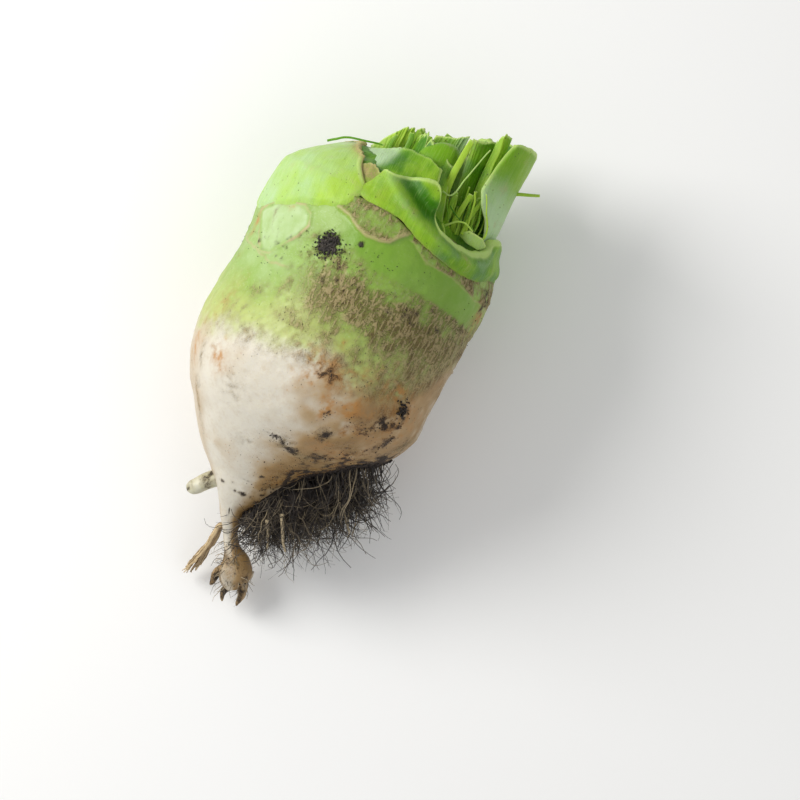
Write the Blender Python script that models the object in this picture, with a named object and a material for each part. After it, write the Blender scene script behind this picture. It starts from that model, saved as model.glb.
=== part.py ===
"""A root mustard as pulled: a swollen white root with a green shoulder, cut leaf bases on its crown,
a tap root and a tuft of soil-bound rootlets. It lies on its side on a small flat spot.

Metres, +Z up. The root's own frame has `along` from tap root to crown, `across` to its right and
`up` away from the surface it lies on. Tables of shape are in millimetres and degrees.
"""

import math
import random

import bmesh
import bpy
import numpy as np

MM = 0.001

# Driving dimensions, in millimetres and degrees
PITCH = 4.5  # the crown end lies this much higher than the tap root
REST_DEPTH = 50.7  # from the root's centre down to the flat spot
GAP = 0.4  # kept between neighbouring pieces
TOP_RING = 49.0  # height along the root of the last ring before the ledge of the leaf bases
UNDERSIDE_MIDDLE, UNDERSIDE_REACH = 24.0, 17.0  # the root is fuller here, where it lies
UNDERSIDE_SWELL = 0.026  # as a share of the radius

# Centre line and radius of the root, from the tip of the tap root to the ledge below the leaves
SPINE = (  # along, across, up, radius
    (-119.8, 11.8, -27.6, 2.0),
    (-117.0, 10.2, -27.4, 5.0),
    (-111.5, 9.2, -26.8, 7.0),
    (-107.6, 7.2, -25.8, 5.6),
    (-104.5, 4.4, -24.6, 3.5),
    (-100.0, 1.2, -22.8, 3.0),
    (-93.0, -1.9, -19.0, 4.1),
    (-86.0, -4.0, -15.0, 6.4),
    (-78.5, -4.8, -11.2, 12.9),
    (-71.0, -6.8, -8.4, 19.4),
    (-62.0, -7.2, -5.6, 26.6),
    (-55.0, -4.7, -3.6, 34.0),
    (-46.0, -1.8, -1.8, 43.2),
    (-36.5, -0.6, -0.6, 49.0),
    (-27.0, 0.2, 0.0, 52.3),
    (-15.0, -0.3, 0.0, 52.9),
    (-5.0, 0.2, 0.0, 52.4),
    (8.0, 1.2, 0.0, 52.2),
    (20.0, 1.4, 0.0, 52.1),
    (32.0, 1.2, 0.0, 52.6),
    (42.0, 0.9, 0.0, 52.0),
    (49.0, 0.4, 0.0, 50.9),
)
SIDES = 48
RING_STEPS = ((-119.8, -86.0, 14), (-86.0, 10.0, 22), (10.0, 49.0, 19))  # from, to, rings

# The ledge that the outer leaf bases stand on dips and rises round the crown
LEDGE_LINE = (  # turn in degrees, along
    (-180, 48.5),
    (-130, 47.5),
    (-90, 45.5),
    (-62, 41.5),
    (-36, 43.0),
    (-15, 41.5),
    (4, 43.0),
    (18, 46.6),
    (32, 43.2),
    (50, 42.6),
    (68, 44.5),
    (88, 48.0),
    (130, 47.0),
    (180, 48.5),
)
CROWN_RADIUS = 46.0  # of the crown surface where it meets the ledge
CROWN_PROFILE = (  # rise above the ledge, share of the crown radius
    (0.0, 1.0),
    (0.6, 0.985),
    (3.0, 0.94),
    (6.5, 0.84),
    (9.5, 0.68),
    (11.8, 0.45),
    (13.0, 0.2),
)

# Outermost radius of the leaf bases at heights along the root, on the left and on the right
LEAF_PROFILE_LEFT = (
    (40.0, 51.4),
    (48.0, 50.6),
    (54.0, 49.8),
    (58.8, 46.5),
    (64.0, 40.5),
    (70.4, 31.0),
    (75.7, 20.5),
    (80.0, 15.0),
    (104.0, 13.0),
)
LEAF_PROFILE_RIGHT = (
    (40.0, 51.6),
    (48.0, 50.8),
    (54.0, 49.6),
    (58.8, 48.6),
    (64.0, 48.3),
    (70.4, 48.0),
    (75.7, 48.0),
    (80.0, 48.0),
    (104.0, 48.3),
)

# Leaf scars on the shoulder: where their middles are, and their half sizes
SCARS = (  # turn in degrees, along, half width in degrees, half height in mm
    (-66.0, 44.0, 36.0, 6.0),
    (-8.0, 46.5, 22.0, 5.6),
    (26.0, 39.0, 22.0, 7.6),
    (76.0, 45.0, 34.0, 6.4),
    (142.0, 43.0, 32.0, 6.5),
    (208.0, 44.0, 34.0, 6.5),
    (-47.0, 27.0, 24.0, 10.0),
    (60.0, 29.5, 40.0, 6.2),
    (118.0, 27.0, 26.0, 8.0),
    (176.0, 28.0, 28.0, 8.5),
    (238.0, 27.0, 28.0, 9.0),
    (4.0, 22.0, 24.0, 7.0),
    (92.0, 12.0, 26.0, 6.0),
    (206.0, 12.0, 26.0, 6.5),
)
SCAR_RIM, SCAR_DIP, RIM_WIDTH = 0.9, 0.55, 0.17  # rim height and pad depth in mm, rim width as a share

# Cut leaf bases: the part of the crown that each wraps, and the heights at which it was cut
LEAVES = {
    # name: (base from, base to, top from, top to, inset, thickness, cut heights from one edge to the other)
    "leaf_base_front": (-15, 97, -12, 92, 0.0, 3.6, (62, 69, 71.5, 72, 58, 54, 53, 53, 54, 57, 59)),
    "leaf_base_left": (-112, -21, -104, -29, 0.0, 3.8, (66, 70, 72, 73, 73, 72, 71, 69, 66)),
    "leaf_base_back_right": (101, 166, 106, 160, 0.0, 3.6, (58, 60, 65, 72, 71, 66, 62)),
    "leaf_base_back_left": (171, 243, 178, 236, 0.0, 3.8, (62, 70, 74, 76, 75, 70, 64)),
    "leaf_base_inner_front": (-46, 16, -40, 18, 5.6, 3.4, (68, 74, 77, 78.5, 79, 79, 76)),
    "leaf_stalk_right": (56, 112, 58, 106, 4.6, 4.4, (90, 96, 99.5, 101, 100.5, 99, 96)),
    "leaf_base_inner_left": (-122, -53, -112, -62, 5.8, 3.4, (66, 72, 75, 76, 75, 72, 68)),
    "leaf_stalk_back": (164, 228, 172, 214, 5.8, 5.0, (82, 86, 88, 90, 89, 87, 82)),
    "leaf_stalk_far": (119, 158, 122, 154, 5.8, 4.6, (88, 92, 94, 95, 92)),
    "leaf_stalk_middle": (-50, 40, -46, 34, 13.5, 4.4, (78, 83, 88, 89, 88, 84, 80)),
    "leaf_stalk_inner_left": (190, 300, 200, 290, 13.5, 4.2, (74, 80, 85, 87, 85, 80, 76)),
    "leaf_stalk_inner_right": (96, 170, 100, 160, 13.5, 4.0, (88, 94, 98, 99, 97, 92, 86)),
}
LEAF_STEPS_UP = 6
LEAF_STEP_MM = 4.6

# Narrow stalks of the young leaves in the heart: turn, distance out, height, lean, width
HEART_STALKS = (
    (58, 26.0, 86, 7.0, 3.0),
    (44, 22.0, 80, 5.0, 2.4),
    (72, 22.5, 90, 8.0, 3.4),
    (32, 17.5, 76, 3.0, 2.6),
    (60, 15.5, 94, 7.0, 2.8),
    (84, 14.5, 82, 3.0, 3.0),
    (150, 7.0, 92, 5.0, 3.6),
    (20, 5.0, 88, 2.0, 3.0),
    (260, 8.0, 84, 3.0, 3.2),
)
HEART_CORE = (60.0, 13.0, 9.0, 7.5, 15.0, 14.0)  # along, across, up, and half sizes

# Soil-bound rootlets on the right of the tap root
TUFT_CORE = (-73.5, 22.5, -19.0, 9.5, 27.0, 12.5)  # along, across, up, and half sizes
TUFT_TILT = -46.0  # the tuft follows the flank of the root, turned by this much
TUFT_HEADING = (-0.89, 0.45, 0.0)  # the way that the rootlets trail
ROOTLETS = 62
ROOTLET_LENGTH = (15.0, 34.0)
ROOTLET_RADIUS = (0.75, 0.35)
ROOTLET_STEPS = 4
FLOOR_CLEARANCE = 0.35

# Stubs of thick side roots: along, across, up at the foot and at the tip, foot and tip radius
SIDE_ROOTS = (
    ((-76.0, -13.0, -9.0), (-89.5, -25.0, -12.5), 3.9, 3.1),
    ((-114.0, 12.0, -28.0), (-124.5, 17.0, -31.0), 3.0, 0.9),
    ((-114.0, 8.5, -28.5), (-126.0, 10.5, -31.5), 2.8, 0.8),
    ((-113.0, 6.5, -27.0), (-121.5, 2.2, -29.5), 2.4, 0.8),
)
FRAYED_ROOT = (
    (-98.0, -5.0, -22.5),
    (-106.0, -5.6, -26.5),
    (-114.0, -7.4, -31.0),
    (-122.5, -8.4, -35.0),
)
FRAYED_RADII = (1.6, 2.1, 1.8, 0.9)

SOIL_CRUSTS = {
    # name: (along, turn in degrees, half length, half width, height) in mm
    "soil_crust_shoulder": (26.0, -20.0, 5.5, 6.0, 2.2),
    "soil_crust_flank": (-18.0, 48.0, 5.5, 3.5, 1.0),
}

SEED = 11
SKIN = ("skin", (0.80, 0.76, 0.62, 1.0), 0.45)
LEAF_GREEN = ("leaf", (0.30, 0.55, 0.07, 1.0), 0.4)
SOIL = ("soil", (0.045, 0.035, 0.028, 1.0), 0.95)
STRAW = ("straw", (0.45, 0.33, 0.19, 1.0), 0.8)


def clear_scene():
    for found in list(bpy.data.objects):
        bpy.data.objects.remove(found)


def material(spec):
    """A plain Principled material, made once for each name."""
    name, colour, roughness = spec
    made = bpy.data.materials.get(name)
    if made is None:
        made = bpy.data.materials.new(name)
        made.use_nodes = True
        shader = made.node_tree.nodes["Principled BSDF"]
        shader.inputs["Base Color"].default_value = colour
        shader.inputs["Roughness"].default_value = roughness
        shader.inputs["Metallic"].default_value = 0.0
    return made


def smooth_step(t):
    """Rises from 0 to 1 as t does, level at both ends."""
    t = np.clip(t, 0, 1)
    return t * t * (3 - 2 * t)


def row(points):
    """Points (along, across, up) in the root's frame, in mm, as metres in the world."""
    points = np.asarray(points, float)
    tilt = math.radians(PITCH)
    x = points[..., 1]
    y = points[..., 0] * math.cos(tilt) - points[..., 2] * math.sin(tilt)
    z = points[..., 0] * math.sin(tilt) + points[..., 2] * math.cos(tilt) + REST_DEPTH
    return np.stack([x, y, z], axis=-1) * MM


def new_object(name, points, faces, spec):
    """An object from points in the root's frame, with its faces turned outwards."""
    mesh = bpy.data.meshes.new(name)
    mesh.from_pydata(row(points).tolist(), [], faces)
    mesh.materials.append(material(spec))
    shell = bmesh.new()
    shell.from_mesh(mesh)
    bmesh.ops.recalc_face_normals(shell, faces=shell.faces)
    shell.to_mesh(mesh)
    shell.free()
    mesh.shade_smooth()
    made = bpy.data.objects.new(name, mesh)
    bpy.context.collection.objects.link(made)
    return made


def joined(rings):
    """Points and faces of a tube made of rings of equal size, capped by fans at both ends."""
    count, size = rings.shape[:2]
    points = rings.reshape(-1, 3)
    faces = []
    for i in range(count - 1):
        for j in range(size):
            k = (j + 1) % size
            faces.append((i * size + j, i * size + k, (i + 1) * size + k, (i + 1) * size + j))
    first, last = len(points), len(points) + 1
    points = np.vstack([points, rings[0].mean(0), rings[-1].mean(0)])
    for j in range(size):
        k = (j + 1) % size
        faces.append((first, k, j))
        faces.append((last, (count - 1) * size + j, (count - 1) * size + k))
    return points, faces


def apply_boolean(target, tool, operation, solver="EXACT"):
    """Joins target to an object or a collection, or cuts it, and removes the collection's members."""
    cut = target.modifiers.new(operation.title(), "BOOLEAN")
    cut.operation = operation
    cut.solver = solver
    if isinstance(tool, bpy.types.Collection):
        cut.operand_type = "COLLECTION"
        cut.collection = tool
    else:
        cut.object = tool
    graph = bpy.context.evaluated_depsgraph_get()
    mesh = bpy.data.meshes.new_from_object(target.evaluated_get(graph))
    target.modifiers.clear()
    target.data = mesh
    if isinstance(tool, bpy.types.Collection):
        for member in list(tool.objects):
            bpy.data.objects.remove(member)
        bpy.data.collections.remove(tool)


def drop_scraps(target):
    """Keeps the largest connected piece of a mesh."""
    mesh = target.data
    parent = list(range(len(mesh.vertices)))

    def root_of(i):
        while parent[i] != i:
            parent[i] = parent[parent[i]]
            i = parent[i]
        return i

    for edge in mesh.edges:
        a, b = (root_of(v) for v in edge.vertices)
        parent[a] = b
    groups = [root_of(i) for i in range(len(parent))]
    sizes = {}
    for group in groups:
        sizes[group] = sizes.get(group, 0) + 1
    largest = max(sizes, key=sizes.get)
    keep = [i for i, group in enumerate(groups) if group == largest]
    place = {old: new for new, old in enumerate(keep)}
    points = [mesh.vertices[i].co[:] for i in keep]
    faces = [[place[v] for v in face.vertices] for face in mesh.polygons if face.vertices[0] in place]
    kept = bpy.data.meshes.new(mesh.name)
    kept.from_pydata(points, [], faces)
    kept.materials.append(mesh.materials[0])
    kept.shade_smooth()
    target.data = kept


def spine_at(along):
    """Centre and radius of the root at heights along it, by a smooth curve through SPINE."""
    table = np.array(SPINE)
    keys = table[:, 0]
    slopes = np.gradient(table[:, 1:], keys, axis=0)
    i = np.clip(np.searchsorted(keys, along) - 1, 0, len(keys) - 2)
    span = keys[i + 1] - keys[i]
    t = np.clip((along - keys[i]) / span, 0, 1)[:, None]
    low, high = table[i, 1:], table[i + 1, 1:]
    step = span[:, None]
    return (
        (2 * t**3 - 3 * t**2 + 1) * low
        + (t**3 - 2 * t**2 + t) * step * slopes[i]
        + (3 * t**2 - 2 * t**3) * high
        + (t**3 - t**2) * step * slopes[i + 1]
    )


def scar_relief(along, turn):
    """Height in mm of the corky rims and sunken pads that fallen leaves left on the shoulder."""
    relief = np.zeros(np.broadcast(along, turn).shape)
    for middle, height, half_width, half_height in SCARS:
        off = (turn - middle + 180) % 360 - 180
        sideways = off / half_width
        droop = height - half_height * 0.25 * (1 - sideways**2)
        reach = (np.abs(sideways) ** 2.6 + np.abs((along - droop) / half_height) ** 2.6) ** (1 / 2.6)
        rim = np.exp(-(((reach - 1) / RIM_WIDTH) ** 2))
        pad = 1 / (1 + np.exp(np.clip((reach - 0.86) / 0.05, -40, 40)))
        lower = 0.55 + 0.45 * np.clip((droop - along) / half_height, -1, 1)
        relief = np.maximum(relief, SCAR_RIM * rim * lower) - SCAR_DIP * pad * (relief < 0.3)
    return relief


def body_lumps(along, turn):
    """How far the section departs from round, as a share of the radius; fuller where the root lies."""
    t = np.radians(turn)
    reach = math.exp(-(((along - UNDERSIDE_MIDDLE) / UNDERSIDE_REACH) ** 2))
    underside = np.exp(-(1 + np.cos(t)) / 0.25) * reach
    return (
        UNDERSIDE_SWELL * underside
        + 0.013 * np.sin(2 * t) * math.cos(0.02 * along)
        + 0.012 * np.cos(3 * t) * math.sin(0.7 + 0.03 * along)
        + 0.006 * np.cos(5 * t) * math.cos(0.05 * along)
    )


def ledge_at(turn):
    """Height along the root of the ledge below the leaf bases, smooth all the way round."""
    table = np.array(LEDGE_LINE, float)
    wide = np.vstack([table[:-1] - (360, 0), table, table[1:] + (360, 0)])
    turn = (np.asarray(turn, float) + 180) % 360 - 180
    near = [np.interp(turn + shift, wide[:, 0], wide[:, 1]) for shift in (-9, -3, 3, 9)]
    return sum(near) / len(near)


def body_rings(grow=0.0):
    """Rings of points over the whole root, grown outwards by `grow` mm."""
    heights = np.concatenate(
        [np.linspace(low, high, count, endpoint=False) for low, high, count in RING_STEPS] + [[SPINE[-1][0]]]
    )
    turns = np.linspace(0, 360, SIDES, endpoint=False)
    shape = spine_at(heights)
    centres = np.column_stack([heights, shape[:, 0], shape[:, 1]])
    tangents = np.gradient(centres, axis=0)
    tangents /= np.linalg.norm(tangents, axis=1)[:, None]
    straight = smooth_step((shape[:, 2] - 6.0) / 10.0)[:, None]
    tangents = tangents * (1 - straight) + np.array([1.0, 0.0, 0.0]) * straight
    tangents /= np.linalg.norm(tangents, axis=1)[:, None]
    drop = ledge_at(turns) - TOP_RING - 1.0
    rings = []
    for centre, tangent, radius in zip(centres, tangents, shape[:, 2]):
        across = np.array([0.0, 1.0, 0.0])
        across -= tangent * (across @ tangent)
        across /= np.linalg.norm(across)
        up = np.cross(tangent, across)
        up *= np.sign(up[2])
        size = radius * (1 + body_lumps(centre[0], turns)) + grow
        size += scar_relief(centre[0], turns) * (radius > 30)
        around = np.radians(turns)
        ring = centre + np.outer(size * np.sin(around), across) + np.outer(size * np.cos(around), up)
        ring[:, 0] += drop * smooth_step((centre[0] - 22.0) / (TOP_RING - 22.0))
        ring[:, 0] += grow * smooth_step((centre[0] - 40.0) / 9.0)
        rings.append(ring)
    rings += crown_rings(turns, shape[-1], grow)
    return np.array(rings)


def crown_rings(turns, foot, grow):
    """The ledge and the low crown above the last ring of the spine."""
    around = np.radians(turns)
    lumps = 1 + body_lumps(TOP_RING, turns)
    ledge = ledge_at(turns)
    top = max(ledge) + CROWN_PROFILE[-1][0]
    made = []
    for rise, share in CROWN_PROFILE:
        radius = CROWN_RADIUS * share * lumps + grow
        height = ledge + (top - ledge) * rise / CROWN_PROFILE[-1][0] + grow
        across, up = foot[0] + radius * np.sin(around), foot[1] + radius * np.cos(around)
        made.append(np.column_stack([height, across, up]))
    return made


def on_the_floor(points):
    """Points of the root's frame kept at or above the floor, which makes the flat spot."""
    tilt = math.radians(PITCH)
    points = np.array(points, float)
    height = points[..., 0] * math.sin(tilt) + points[..., 2] * math.cos(tilt) + REST_DEPTH
    low = np.minimum(height, 0)
    points[..., 0] -= low * math.sin(tilt)
    points[..., 2] -= low * math.cos(tilt)
    return points


def tube(name, path, radii, sides, spec):
    """A closed tube along a path of points in the root's frame."""
    path = np.asarray(path, float)
    tangents = np.gradient(path, axis=0)
    tangents /= np.linalg.norm(tangents, axis=1)[:, None]
    side = np.cross(tangents[0], [0.3, 0.5, 0.81])
    rings = []
    for point, tangent, radius in zip(path, tangents, radii):
        side = side - tangent * (side @ tangent)
        side /= np.linalg.norm(side)
        other = np.cross(tangent, side)
        around = np.linspace(0, 2 * math.pi, sides, endpoint=False)
        rings.append(point + radius * (np.outer(np.cos(around), side) + np.outer(np.sin(around), other)))
    points, faces = joined(np.array(rings))
    return new_object(name, points, faces, spec)


def make_root_body():
    """The swollen root, its tap root and the stubs of its thick side roots, as one grown piece."""
    points, faces = joined(body_rings())
    body = new_object("root_body", on_the_floor(points), faces, SKIN)
    stubs = bpy.data.collections.new("side roots")
    bpy.context.scene.collection.children.link(stubs)
    for i, (foot, tip, foot_radius, tip_radius) in enumerate(SIDE_ROOTS):
        foot, tip = np.array(foot), np.array(tip)
        shares = np.array([0.0, 0.45, 0.85, 1.0])
        path = foot + shares[:, None] * (tip - foot)
        radii = foot_radius + (tip_radius - foot_radius) * shares
        radii[-1] *= 0.7
        stub = tube(f"side_root_{i}", path, radii, 8, SKIN)
        bpy.context.collection.objects.unlink(stub)
        stubs.objects.link(stub)
    apply_boolean(body, stubs, "UNION")
    body.name = "root_body"
    return body


def body_cutter():
    """The root grown by the gap, to cut its neighbours clear of it."""
    points, faces = joined(body_rings(GAP))
    cutter = new_object("body_cutter", points, faces, SKIN)
    hide_cutter(cutter)
    return cutter


def envelope(height, turn):
    """Outermost radius of the leaf bases: they close over the left of the crown and stand up on its right."""
    left = np.interp(height, *np.array(LEAF_PROFILE_LEFT).T)
    right = np.interp(height, *np.array(LEAF_PROFILE_RIGHT).T)
    share = 0.5 + 0.5 * np.sin(np.radians(turn))
    return left + (right - left) * share


def leaf_sheets(base_from, base_to, top_from, top_to, inset, thickness, grow, cuts):
    """Outer and inner grids of a cut leaf base, whose cross-section thins towards its two edges."""
    arc = math.radians(base_to - base_from) * (CROWN_RADIUS - inset)
    steps_across = max(6, round(arc / LEAF_STEP_MM))
    across = np.linspace(-1, 1, steps_across + 1)
    upward = np.linspace(0, 1, LEAF_STEPS_UP + 1)
    tops = np.interp(across, np.linspace(-1, 1, len(cuts)), cuts)
    outer, inner = [], []
    for v in upward:
        narrowing = smooth_step(v * 1.3)
        low = base_from + (top_from - base_from) * narrowing
        high = base_to + (top_to - base_to) * narrowing
        turn = low + (high - low) * (across + 1) / 2
        foot = ledge_at(turn) - 2.0 + inset * 0.5
        height = foot + (tops - foot) * v
        radius = np.maximum(envelope(height, turn) - inset, 5.5)
        wall = thickness * (1 - 0.62 * across**4) * (1 - 0.12 * v) + 2 * grow
        around = np.radians(turn)
        for grid, size in ((outer, radius), (inner, radius - wall)):
            grid.append(np.column_stack([height, size * np.sin(around), size * np.cos(around)]))
    return np.array(outer), np.array(inner)


def leaf_shell(name, spec, grow=0.0):
    """The closed shape of a cut leaf base, or of the room that it takes up when grown."""
    base_from, base_to, top_from, top_to, inset, thickness, cuts = spec
    if grow:
        wider = math.degrees(grow / 30.0)
        base_from, base_to = base_from - wider, base_to + wider
        top_from, top_to = top_from - 1.6 * wider, top_to + 1.6 * wider
        inset, cuts = inset - grow, [cut + grow for cut in cuts]
    outer, inner = leaf_sheets(base_from, base_to, top_from, top_to, inset, thickness, grow, cuts)
    rows, columns = outer.shape[:2]
    points = np.array([outer[i] for i in range(rows)] + [inner[i] for i in reversed(range(rows))])
    total = 2 * rows
    faces = []
    for i in range(total):
        k = (i + 1) % total
        for j in range(columns - 1):
            faces.append((i * columns + j, i * columns + j + 1, k * columns + j + 1, k * columns + j))
    for j in (0, columns - 1):
        for i in range(rows - 1):
            far = total - 1 - i
            faces.append((i * columns + j, (i + 1) * columns + j, (far - 1) * columns + j, far * columns + j))
    return new_object(name, points.reshape(-1, 3), faces, LEAF_GREEN)


def make_leaf(name, spec, cutters):
    """One cut leaf base, cut clear of the crown and of the leaves outside it."""
    leaf = leaf_shell(name, spec)
    cut_clear(leaf, cutters)
    room = leaf_shell(f"room_{name}", spec, GAP)
    hide_cutter(room)
    cutters.append(room)
    return leaf


def hide_cutter(cutter):
    cutter.hide_render = True
    cutter.display_type = "WIRE"


def cut_clear(piece, cutters, solver="EXACT"):
    """Cuts a piece clear of its neighbours and keeps the part of it that holds together."""
    for cutter in cutters:
        apply_boolean(piece, cutter, "DIFFERENCE", solver)
    drop_scraps(piece)


def ellipsoid(name, centre, halves, turn, spec, rings=9, sides=14, lump=0.12, waves=4):
    """A lumpy closed lump in the root's frame, turned about the up axis."""
    draw = random.Random(SEED)
    ripples = [(draw.uniform(1.5, 2 + waves), draw.uniform(0, 6.3), draw.randint(1, waves)) for _ in range(waves)]
    shape = []
    for i in range(1, rings):
        polar = math.pi * i / rings
        ring = []
        for j in range(sides):
            around = 2 * math.pi * j / sides
            size = 1 + lump * sum(math.sin(f * polar + g * around + p) for f, p, g in ripples) / 2
            ring.append(
                (
                    math.cos(polar) * halves[0] * size,
                    math.sin(polar) * math.cos(around) * halves[1] * size,
                    math.sin(polar) * math.sin(around) * halves[2] * size,
                )
            )
        shape.append(ring)
    points, faces = joined(np.array(shape))
    c, s = math.cos(math.radians(turn)), math.sin(math.radians(turn))
    turned = points @ np.array([[c, s, 0], [-s, c, 0], [0, 0, 1]])
    return new_object(name, turned + np.array(centre), faces, spec)


def make_heart(cutters):
    """The young leaves of the heart, cut as narrow stalks that grow from one bud."""
    heart = ellipsoid("heart_stalks", HEART_CORE[:3], HEART_CORE[3:], 0, LEAF_GREEN, lump=0.05)
    stalks = bpy.data.collections.new("stalks")
    bpy.context.scene.collection.children.link(stalks)
    for i, (turn, out, height, lean, width) in enumerate(HEART_STALKS):
        around = math.radians(turn)
        way = np.array([0.0, math.sin(around), math.cos(around)])
        shares = np.linspace(0, 1, 5)
        foot = 60.0
        path = np.array(
            [[foot + (height - foot) * s, 0, 0] + way * (out + lean * s**1.6 - 2.0 * (1 - s)) for s in shares]
        )
        stalk = tube(f"stalk_{i}", path, width * (0.72 - 0.2 * shares), 6, LEAF_GREEN)
        bpy.context.collection.objects.unlink(stalk)
        stalks.objects.link(stalk)
    apply_boolean(heart, stalks, "UNION")
    cut_clear(heart, cutters)
    return heart


def rootlet_path(draw, start, heading, length):
    """A wandering rootlet that droops to the floor and runs along it."""
    points = [np.array(start)]
    way = np.array(heading, float)
    step = length / ROOTLET_STEPS
    for _ in range(ROOTLET_STEPS):
        way = way + np.array([draw.gauss(0, 0.22), draw.gauss(0, 0.22), draw.gauss(0, 0.16) - 0.16])
        way /= np.linalg.norm(way)
        points.append(points[-1] + way * step)
    path = np.array(points)
    tilt = math.radians(PITCH)
    height = path[:, 0] * math.sin(tilt) + path[:, 2] * math.cos(tilt) + REST_DEPTH
    path[:, 2] += np.maximum(FLOOR_CLEARANCE + ROOTLET_RADIUS[0] - height, 0)
    return path


def make_tuft(cutter):
    """The soil-bound rootlets beside the tap root: a crumbly core that the rootlets stand out of."""
    draw = random.Random(SEED)
    centre, halves = np.array(TUFT_CORE[:3]), TUFT_CORE[3:]
    tuft = ellipsoid(
        "soil_bound_rootlets", centre, halves, TUFT_TILT, SOIL, rings=12, sides=18, lump=0.16, waves=7
    )
    strands = bpy.data.collections.new("rootlets")
    bpy.context.scene.collection.children.link(strands)
    c, s = math.cos(math.radians(TUFT_TILT)), math.sin(math.radians(TUFT_TILT))
    for i in range(ROOTLETS):
        side = draw.uniform(-0.88, 0.88)
        deep = math.sqrt(1 - side * side)
        lift = draw.uniform(-0.7, 0.75)
        inner = np.array([draw.uniform(-0.7, -0.1) * deep, side, lift * deep]) * halves
        start = centre + np.array([inner[0] * c - inner[1] * s, inner[0] * s + inner[1] * c, inner[2]])
        heading = np.array(TUFT_HEADING) + np.array([draw.gauss(0, 0.3), 0.4 * side + draw.gauss(0, 0.3), 0.35 * lift])
        path = rootlet_path(draw, start, heading / np.linalg.norm(heading), draw.uniform(*ROOTLET_LENGTH))
        radii = np.linspace(*ROOTLET_RADIUS, len(path))
        strand = tube(f"rootlet_{i}", path, radii, 3, SOIL)
        bpy.context.collection.objects.unlink(strand)
        strands.objects.link(strand)
    apply_boolean(tuft, strands, "UNION", "MANIFOLD")
    cut_clear(tuft, [cutter], "MANIFOLD")
    return tuft


def make_soil_crust(name, spec, cutter):
    """A crust of soil that clings to the skin."""
    along, turn, half_length, half_width, height = spec
    around = math.radians(turn)
    shape = spine_at(np.array([along]))[0]
    radius = shape[2] * (1 + body_lumps(along, turn))
    way = np.array([0.0, math.sin(around), math.cos(around)])
    centre = np.array([along, shape[0], shape[1]]) + way * radius
    sides, rings = 12, 4
    side = np.array([0.0, math.cos(around), -math.sin(around)])
    shape_rings = []
    for i in range(rings + 1):
        share = math.sin(math.pi / 2 * (1 - i / rings)) if i < rings else 0.15
        lift = -2.0 if i == 0 else height * math.cos(math.pi / 2 * share)
        ring = []
        for j in range(sides):
            angle = 2 * math.pi * j / sides
            wobble = 1 + 0.14 * math.sin(3 * angle + 1.0) + 0.08 * math.sin(5 * angle)
            reach = max(share, 0.15) * wobble
            u, v = math.cos(angle) * half_length * reach, math.sin(angle) * half_width * reach
            sag = (u * u * 0.2 + v * v) / (2 * radius)
            ring.append(centre + np.array([u, 0, 0]) + side * v + way * (lift - sag))
        shape_rings.append(ring)
    points, faces = joined(np.array(shape_rings))
    crust = new_object(name, points, faces, SOIL)
    cut_clear(crust, [cutter])
    return crust


def make_frayed_root():
    """A dry, frayed side root beside the tap root."""
    keys = np.linspace(0, 1, len(FRAYED_ROOT))
    shares = np.linspace(0, 1, 9)
    path = np.array([np.interp(shares, keys, column) for column in np.array(FRAYED_ROOT).T]).T
    return tube("frayed_side_root", path, np.interp(shares, keys, FRAYED_RADII), 7, STRAW)


def main():
    clear_scene()
    cutter = body_cutter()
    cutters = [cutter]
    make_root_body()
    for name, spec in LEAVES.items():
        make_leaf(name, spec, cutters)
    make_heart(cutters)
    make_tuft(cutter)
    make_frayed_root()
    for name, spec in SOIL_CRUSTS.items():
        make_soil_crust(name, spec, cutter)


main()
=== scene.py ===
"""Looks of a root mustard as pulled: skin, cork, cut leaf bases, soil and rootlets, on a pale floor.

Shapes are worked out in the root's own frame in millimetres: `along` from tap root to crown,
`across` to its right and `up` away from the floor. `turn` is the angle round the root in degrees,
0 on the side that faces up and 90 on its right.
"""

import logging
import math
from dataclasses import dataclass
from enum import Enum
from typing import Any

import bmesh
import bpy
import numpy as np
from mathutils import Matrix, Vector

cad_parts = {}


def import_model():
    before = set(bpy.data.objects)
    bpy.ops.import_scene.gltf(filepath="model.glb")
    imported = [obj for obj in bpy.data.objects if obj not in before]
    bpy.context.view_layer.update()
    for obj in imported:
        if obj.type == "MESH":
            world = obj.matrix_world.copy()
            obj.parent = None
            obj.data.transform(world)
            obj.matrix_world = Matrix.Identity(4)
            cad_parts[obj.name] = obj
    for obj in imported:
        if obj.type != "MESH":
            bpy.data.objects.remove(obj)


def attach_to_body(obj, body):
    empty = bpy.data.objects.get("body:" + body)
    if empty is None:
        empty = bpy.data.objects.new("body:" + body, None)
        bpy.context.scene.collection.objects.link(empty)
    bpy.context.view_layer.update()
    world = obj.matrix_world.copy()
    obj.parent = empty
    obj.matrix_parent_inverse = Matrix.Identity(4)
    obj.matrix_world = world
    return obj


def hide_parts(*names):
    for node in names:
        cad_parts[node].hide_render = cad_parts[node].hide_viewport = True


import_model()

LOG = logging.getLogger("root mustard")
MM = 0.001
PITCH = 4.5  # degrees that the crown end lies higher
REST_DEPTH = 50.7  # mm from the root's centre down to the floor
ARC = math.pi / 180 * 51.5  # mm round the shoulder in a degree of turn
SKIN_TOP = 49.0  # mm along, the last ring of the skin before the ledge moves it
EDGE_ANGLES = (25, 60, 90, 120, 155)  # degrees over the rounded cut edge of a leaf base
FIELD_SIZE = 8192  # random values of an uneven field, a power of two
FIELD_STEPS = (73856093, 19349663, 83492791)  # large numbers that spread the cells over the values
Rows = tuple[tuple[float, ...], ...]
Pair = tuple[float, float]
Triple = tuple[float, float, float]
Colour = tuple[float, float, float, float]
Array = np.ndarray
Piece = bpy.types.Object
Material = bpy.types.Material
Socket = bpy.types.NodeSocket


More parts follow.
